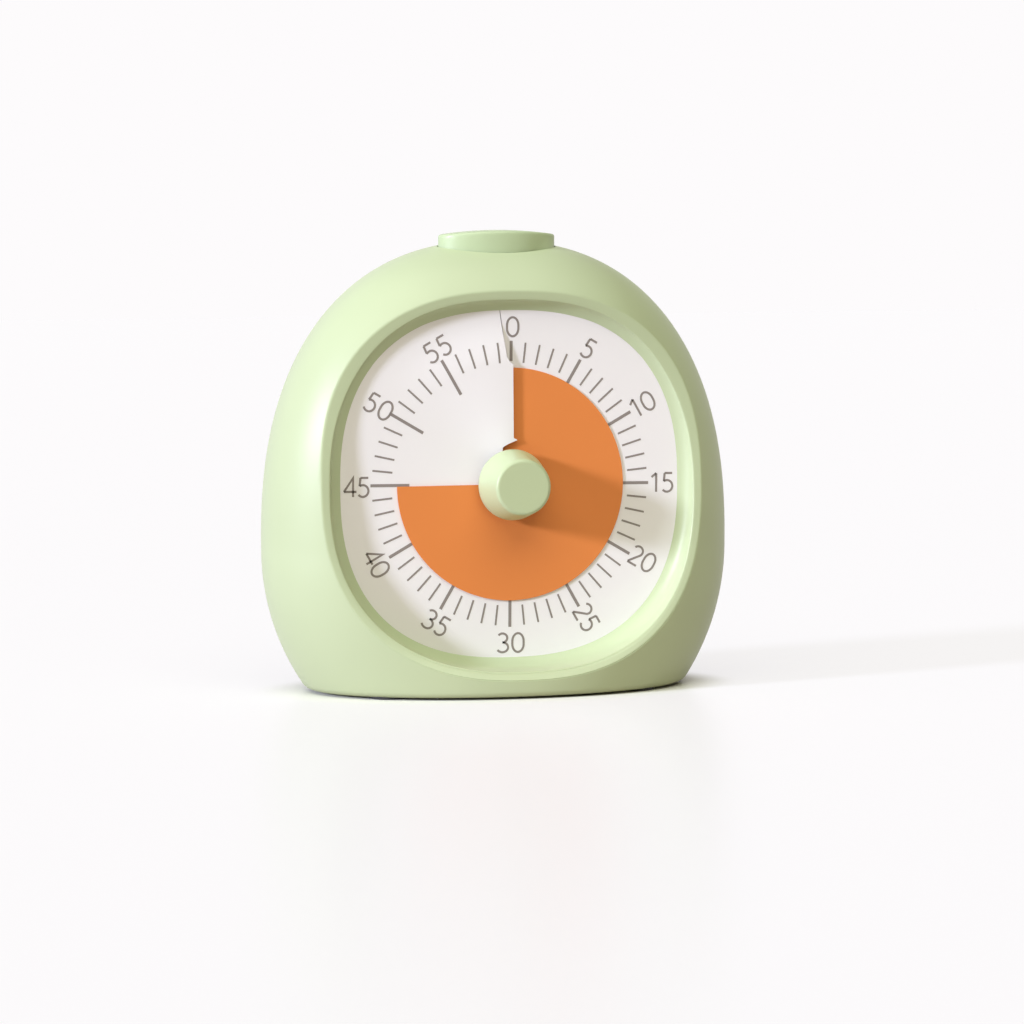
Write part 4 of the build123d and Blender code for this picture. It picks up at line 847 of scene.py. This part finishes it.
half = SHOWN_ANGLE / 2
hidden = (360 - SHOWN_ANGLE) / 2
under = -SHEET - DISC_LIFT - DISC_SHEET
disc_pieces = [
    disc_sector("disc_shown_first", 0, half, DISC_LIFT,
                DISC_LIFT + DISC_CLIMB, 90, reach=1.0),
    disc_sector("disc_shown_second", half, SHOWN_ANGLE, DISC_LIFT + DISC_CLIMB,
                DISC_LIFT + 2 * DISC_CLIMB, 90),
    disc_sector("disc_hidden_first", 0, -hidden, under, under - DISC_CLIMB, 30),
    disc_sector("disc_hidden_second", -hidden, -2 * hidden, under - DISC_CLIMB,
                under - 2 * DISC_CLIMB, 30),
]
for piece in disc_pieces:
    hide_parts("time_disc")

# ---- knob ---------------------------------------------------------------------------------


def turned(name, segments, profile):
    """Closed piece turned about the dial's axis, from radii and distances in front of the dial."""
    def place(turn, ring):
        radius, forward = profile[ring]
        return DIAL_CENTRE + Vector((radius * cos(turn), -forward, radius * sin(turn)))
    return ball(name, segments, len(profile) - 1, place)


def knob_profile():
    face = KNOB_TIP - KNOB_EDGE
    points = [(0.0, KNOB_FRONT), (face * 0.5, KNOB_FRONT), (face * 0.97, KNOB_FRONT)]
    lean = atan2(KNOB_BASE - KNOB_TIP, KNOB_FRONT - KNOB_GAP)
    edge_rings = 8
    for k in range(edge_rings + 1):
        turn = (pi / 2 - lean) * k / edge_rings
        points.append((face + KNOB_EDGE * sin(turn), KNOB_FRONT - KNOB_EDGE * (1 - cos(turn))))
    tip = points[-1]
    side_rings = 8
    for k in range(1, side_rings + 1):
        share = k / side_rings
        points.append((tip[0] + (KNOB_BASE - tip[0]) * share,
                       tip[1] + (KNOB_GAP + SKIRT_EDGE - tip[1]) * share))
    points.append((KNOB_BASE - 0.3 * SKIRT_EDGE, KNOB_GAP + 0.3 * SKIRT_EDGE))
    points.append((KNOB_BASE - SKIRT_EDGE, KNOB_GAP))
    points.append((KNOB_BASE - KNOB_WALL, KNOB_GAP))
    points.append((KNOB_TIP - KNOB_WALL, KNOB_FRONT - KNOB_FACE))
    points.append((KNOB_TUBE, KNOB_FRONT - KNOB_FACE))
    points.append((KNOB_TUBE, KNOB_BORE_FRONT))
    points.append((SPINDLE, KNOB_BORE_FRONT))
    points.append((SPINDLE, KNOB_FRONT - KNOB_FACE))
    points.append((0.0, KNOB_FRONT - KNOB_FACE))
    return points


knob = turned("knob_skin", 128, knob_profile())
smooth(knob, 40)
finished(knob, "knob", KNOB_GREEN, "knob")

# ---- stage, light and camera --------------------------------------------------------------

PAPER = linear((253, 251, 252))
FLOOR_SIZE = 6.0
FLOOR_SHADE = 0.25            # share of the floor's colour that the lamps light
FLOOR_LIT = (1.0, 0.98, 0.93)     # what the lamps give a white floor
FLOOR_BOUNCE = (0.62, 0.55, 0.48)     # the floor as it lights the body
FLOOR_GLOSS = 0.16
GLOSS_ROUGHNESS = 0.3
FOOTPRINT = (41.5 * MM, 26.0 * MM)    # half-width and half-depth of the body's foot
FOOTPRINT_FADE = 1.3          # the full shade under the body has faded out at this share of it
UNDER_WHITE = (0.95, 0.95, 0.93)


def seen_rays(nodes, links):
    """1 for the rays that show the backdrop: seen, mirrored or through glass."""
    rays = nodes.new("ShaderNodeLightPath")
    mirrored = nodes.new("ShaderNodeMath")
    mirrored.operation = "MAXIMUM"
    links.new(rays.outputs["Is Camera Ray"], mirrored.inputs[0])
    links.new(rays.outputs["Is Glossy Ray"], mirrored.inputs[1])
    through = nodes.new("ShaderNodeMath")
    through.operation = "MAXIMUM"
    links.new(mirrored.outputs[0], through.inputs[0])
    links.new(rays.outputs["Is Transmission Ray"], through.inputs[1])
    return through.outputs[0]


bpy.ops.mesh.primitive_plane_add(size=FLOOR_SIZE, location=(0, 0, 0))
floor = settle(active("floor"))
floor_paint, nodes, links, surface = shader("floor_paint")
surface.inputs["Base Color"].default_value = (*FLOOR_BOUNCE, 1)
surface.inputs["Roughness"].default_value = 1.0
surface.inputs["Specular IOR Level"].default_value = 0.0
paper_shade = nodes.new("ShaderNodeBsdfDiffuse")
paper_shade.inputs["Color"].default_value = (FLOOR_SHADE, FLOOR_SHADE, FLOOR_SHADE, 1)
paper_glow = nodes.new("ShaderNodeEmission")
paper_left = (c - FLOOR_SHADE * lit for c, lit in zip(PAPER, FLOOR_LIT))
paper_glow.inputs["Color"].default_value = (*paper_left, 1)
paper = nodes.new("ShaderNodeAddShader")
links.new(paper_shade.outputs[0], paper.inputs[0])
links.new(paper_glow.outputs[0], paper.inputs[1])
place = nodes.new("ShaderNodeTexCoord")
footprint = nodes.new("ShaderNodeMapping")
footprint.inputs["Location"].default_value = (0, -CASE_MIDDLE / FOOTPRINT[1], 0)
footprint.inputs["Scale"].default_value = (1 / FOOTPRINT[0], 1 / FOOTPRINT[1], 0)
links.new(place.outputs["Object"], footprint.inputs["Vector"])
away = nodes.new("ShaderNodeVectorMath")
away.operation = "LENGTH"
links.new(footprint.outputs[0], away.inputs[0])
clear = nodes.new("ShaderNodeMapRange")
clear.interpolation_type = "SMOOTHSTEP"
clear.inputs["From Min"].default_value = 1.0
clear.inputs["From Max"].default_value = FOOTPRINT_FADE
links.new(away.outputs["Value"], clear.inputs["Value"])
paper_under = nodes.new("ShaderNodeBsdfDiffuse")
paper_under.inputs["Color"].default_value = (*UNDER_WHITE, 1)
paper_all = nodes.new("ShaderNodeMixShader")
links.new(clear.outputs[0], paper_all.inputs[0])
links.new(paper_under.outputs[0], paper_all.inputs[1])
links.new(paper.outputs[0], paper_all.inputs[2])
paper_gloss = nodes.new("ShaderNodeBsdfGlossy")
paper_gloss.inputs["Color"].default_value = (1, 1, 1, 1)
paper_gloss.inputs["Roughness"].default_value = GLOSS_ROUGHNESS
table = nodes.new("ShaderNodeMixShader")
table.inputs[0].default_value = FLOOR_GLOSS
links.new(paper_all.outputs[0], table.inputs[1])
links.new(paper_gloss.outputs[0], table.inputs[2])
floor_mix = nodes.new("ShaderNodeMixShader")
links.new(seen_rays(nodes, links), floor_mix.inputs[0])
links.new(surface.outputs[0], floor_mix.inputs[1])
links.new(table.outputs[0], floor_mix.inputs[2])
links.new(floor_mix.outputs[0], nodes["Material Output"].inputs["Surface"])
floor.data.materials.append(floor_paint)

ROOM_STRENGTH = 0.12
ROOM_COLOUR = (1.0, 0.72, 0.42)


def sun(name, energy, colour, spread, to_light):
    bpy.ops.object.light_add(type="SUN", location=(-1, -1, 1))
    lamp = active(name)
    lamp.data.energy = energy
    lamp.data.color = colour
    lamp.data.angle = radians(spread)
    lamp.rotation_euler = Vector(to_light).to_track_quat("Z", "Y").to_euler()


sun("window_light", 3.95, (0.76, 0.785, 1.0), 8, (-0.915, -0.305, 0.265))
sun("ceiling_light", 2.15, (0.98, 1.0, 0.86), 65, (-0.17, -0.48, 0.85))

world = bpy.data.worlds.new("studio")
bpy.context.scene.world = world
world.use_nodes = True
nodes = world.node_tree.nodes
links = world.node_tree.links
room = nodes["Background"]
room.inputs["Color"].default_value = (*ROOM_COLOUR, 1)
room.inputs["Strength"].default_value = ROOM_STRENGTH
backdrop = nodes.new("ShaderNodeBackground")
backdrop.inputs["Color"].default_value = (*PAPER, 1)
mix = nodes.new("ShaderNodeMixShader")
links.new(seen_rays(nodes, links), mix.inputs[0])
links.new(room.outputs[0], mix.inputs[1])
links.new(backdrop.outputs[0], mix.inputs[2])
links.new(mix.outputs[0], nodes["World Output"].inputs["Surface"])

VIEW_YAW = radians(14.45)
VIEW_PITCH = radians(4.22)
VIEW_ROLL = radians(0.29)
VIEW_DISTANCE = 866.1 * MM
AIM_RIGHT = 0.33 * MM
AIM_UP = 5.88 * MM
VIEW_LENS = 144.3
SENSOR_WIDTH = 36
bpy.ops.object.camera_add()
camera = bpy.context.object
camera.name = "view_camera"
camera.data.lens = VIEW_LENS
camera.data.sensor_width = SENSOR_WIDTH
view = (Matrix.Rotation(-VIEW_YAW, 4, "Z") @ Matrix.Rotation(pi / 2 - VIEW_PITCH, 4, "X")
        @ Matrix.Rotation(-VIEW_ROLL, 4, "Z"))
aim = DIAL_CENTRE + view.to_3x3() @ Vector((AIM_RIGHT, -AIM_UP, 0))
camera.matrix_world = Matrix.Translation(aim + view.to_3x3() @ Vector((0, 0, VIEW_DISTANCE))) @ view
bpy.context.scene.camera = camera

bpy.context.scene.view_settings.view_transform = "Standard"
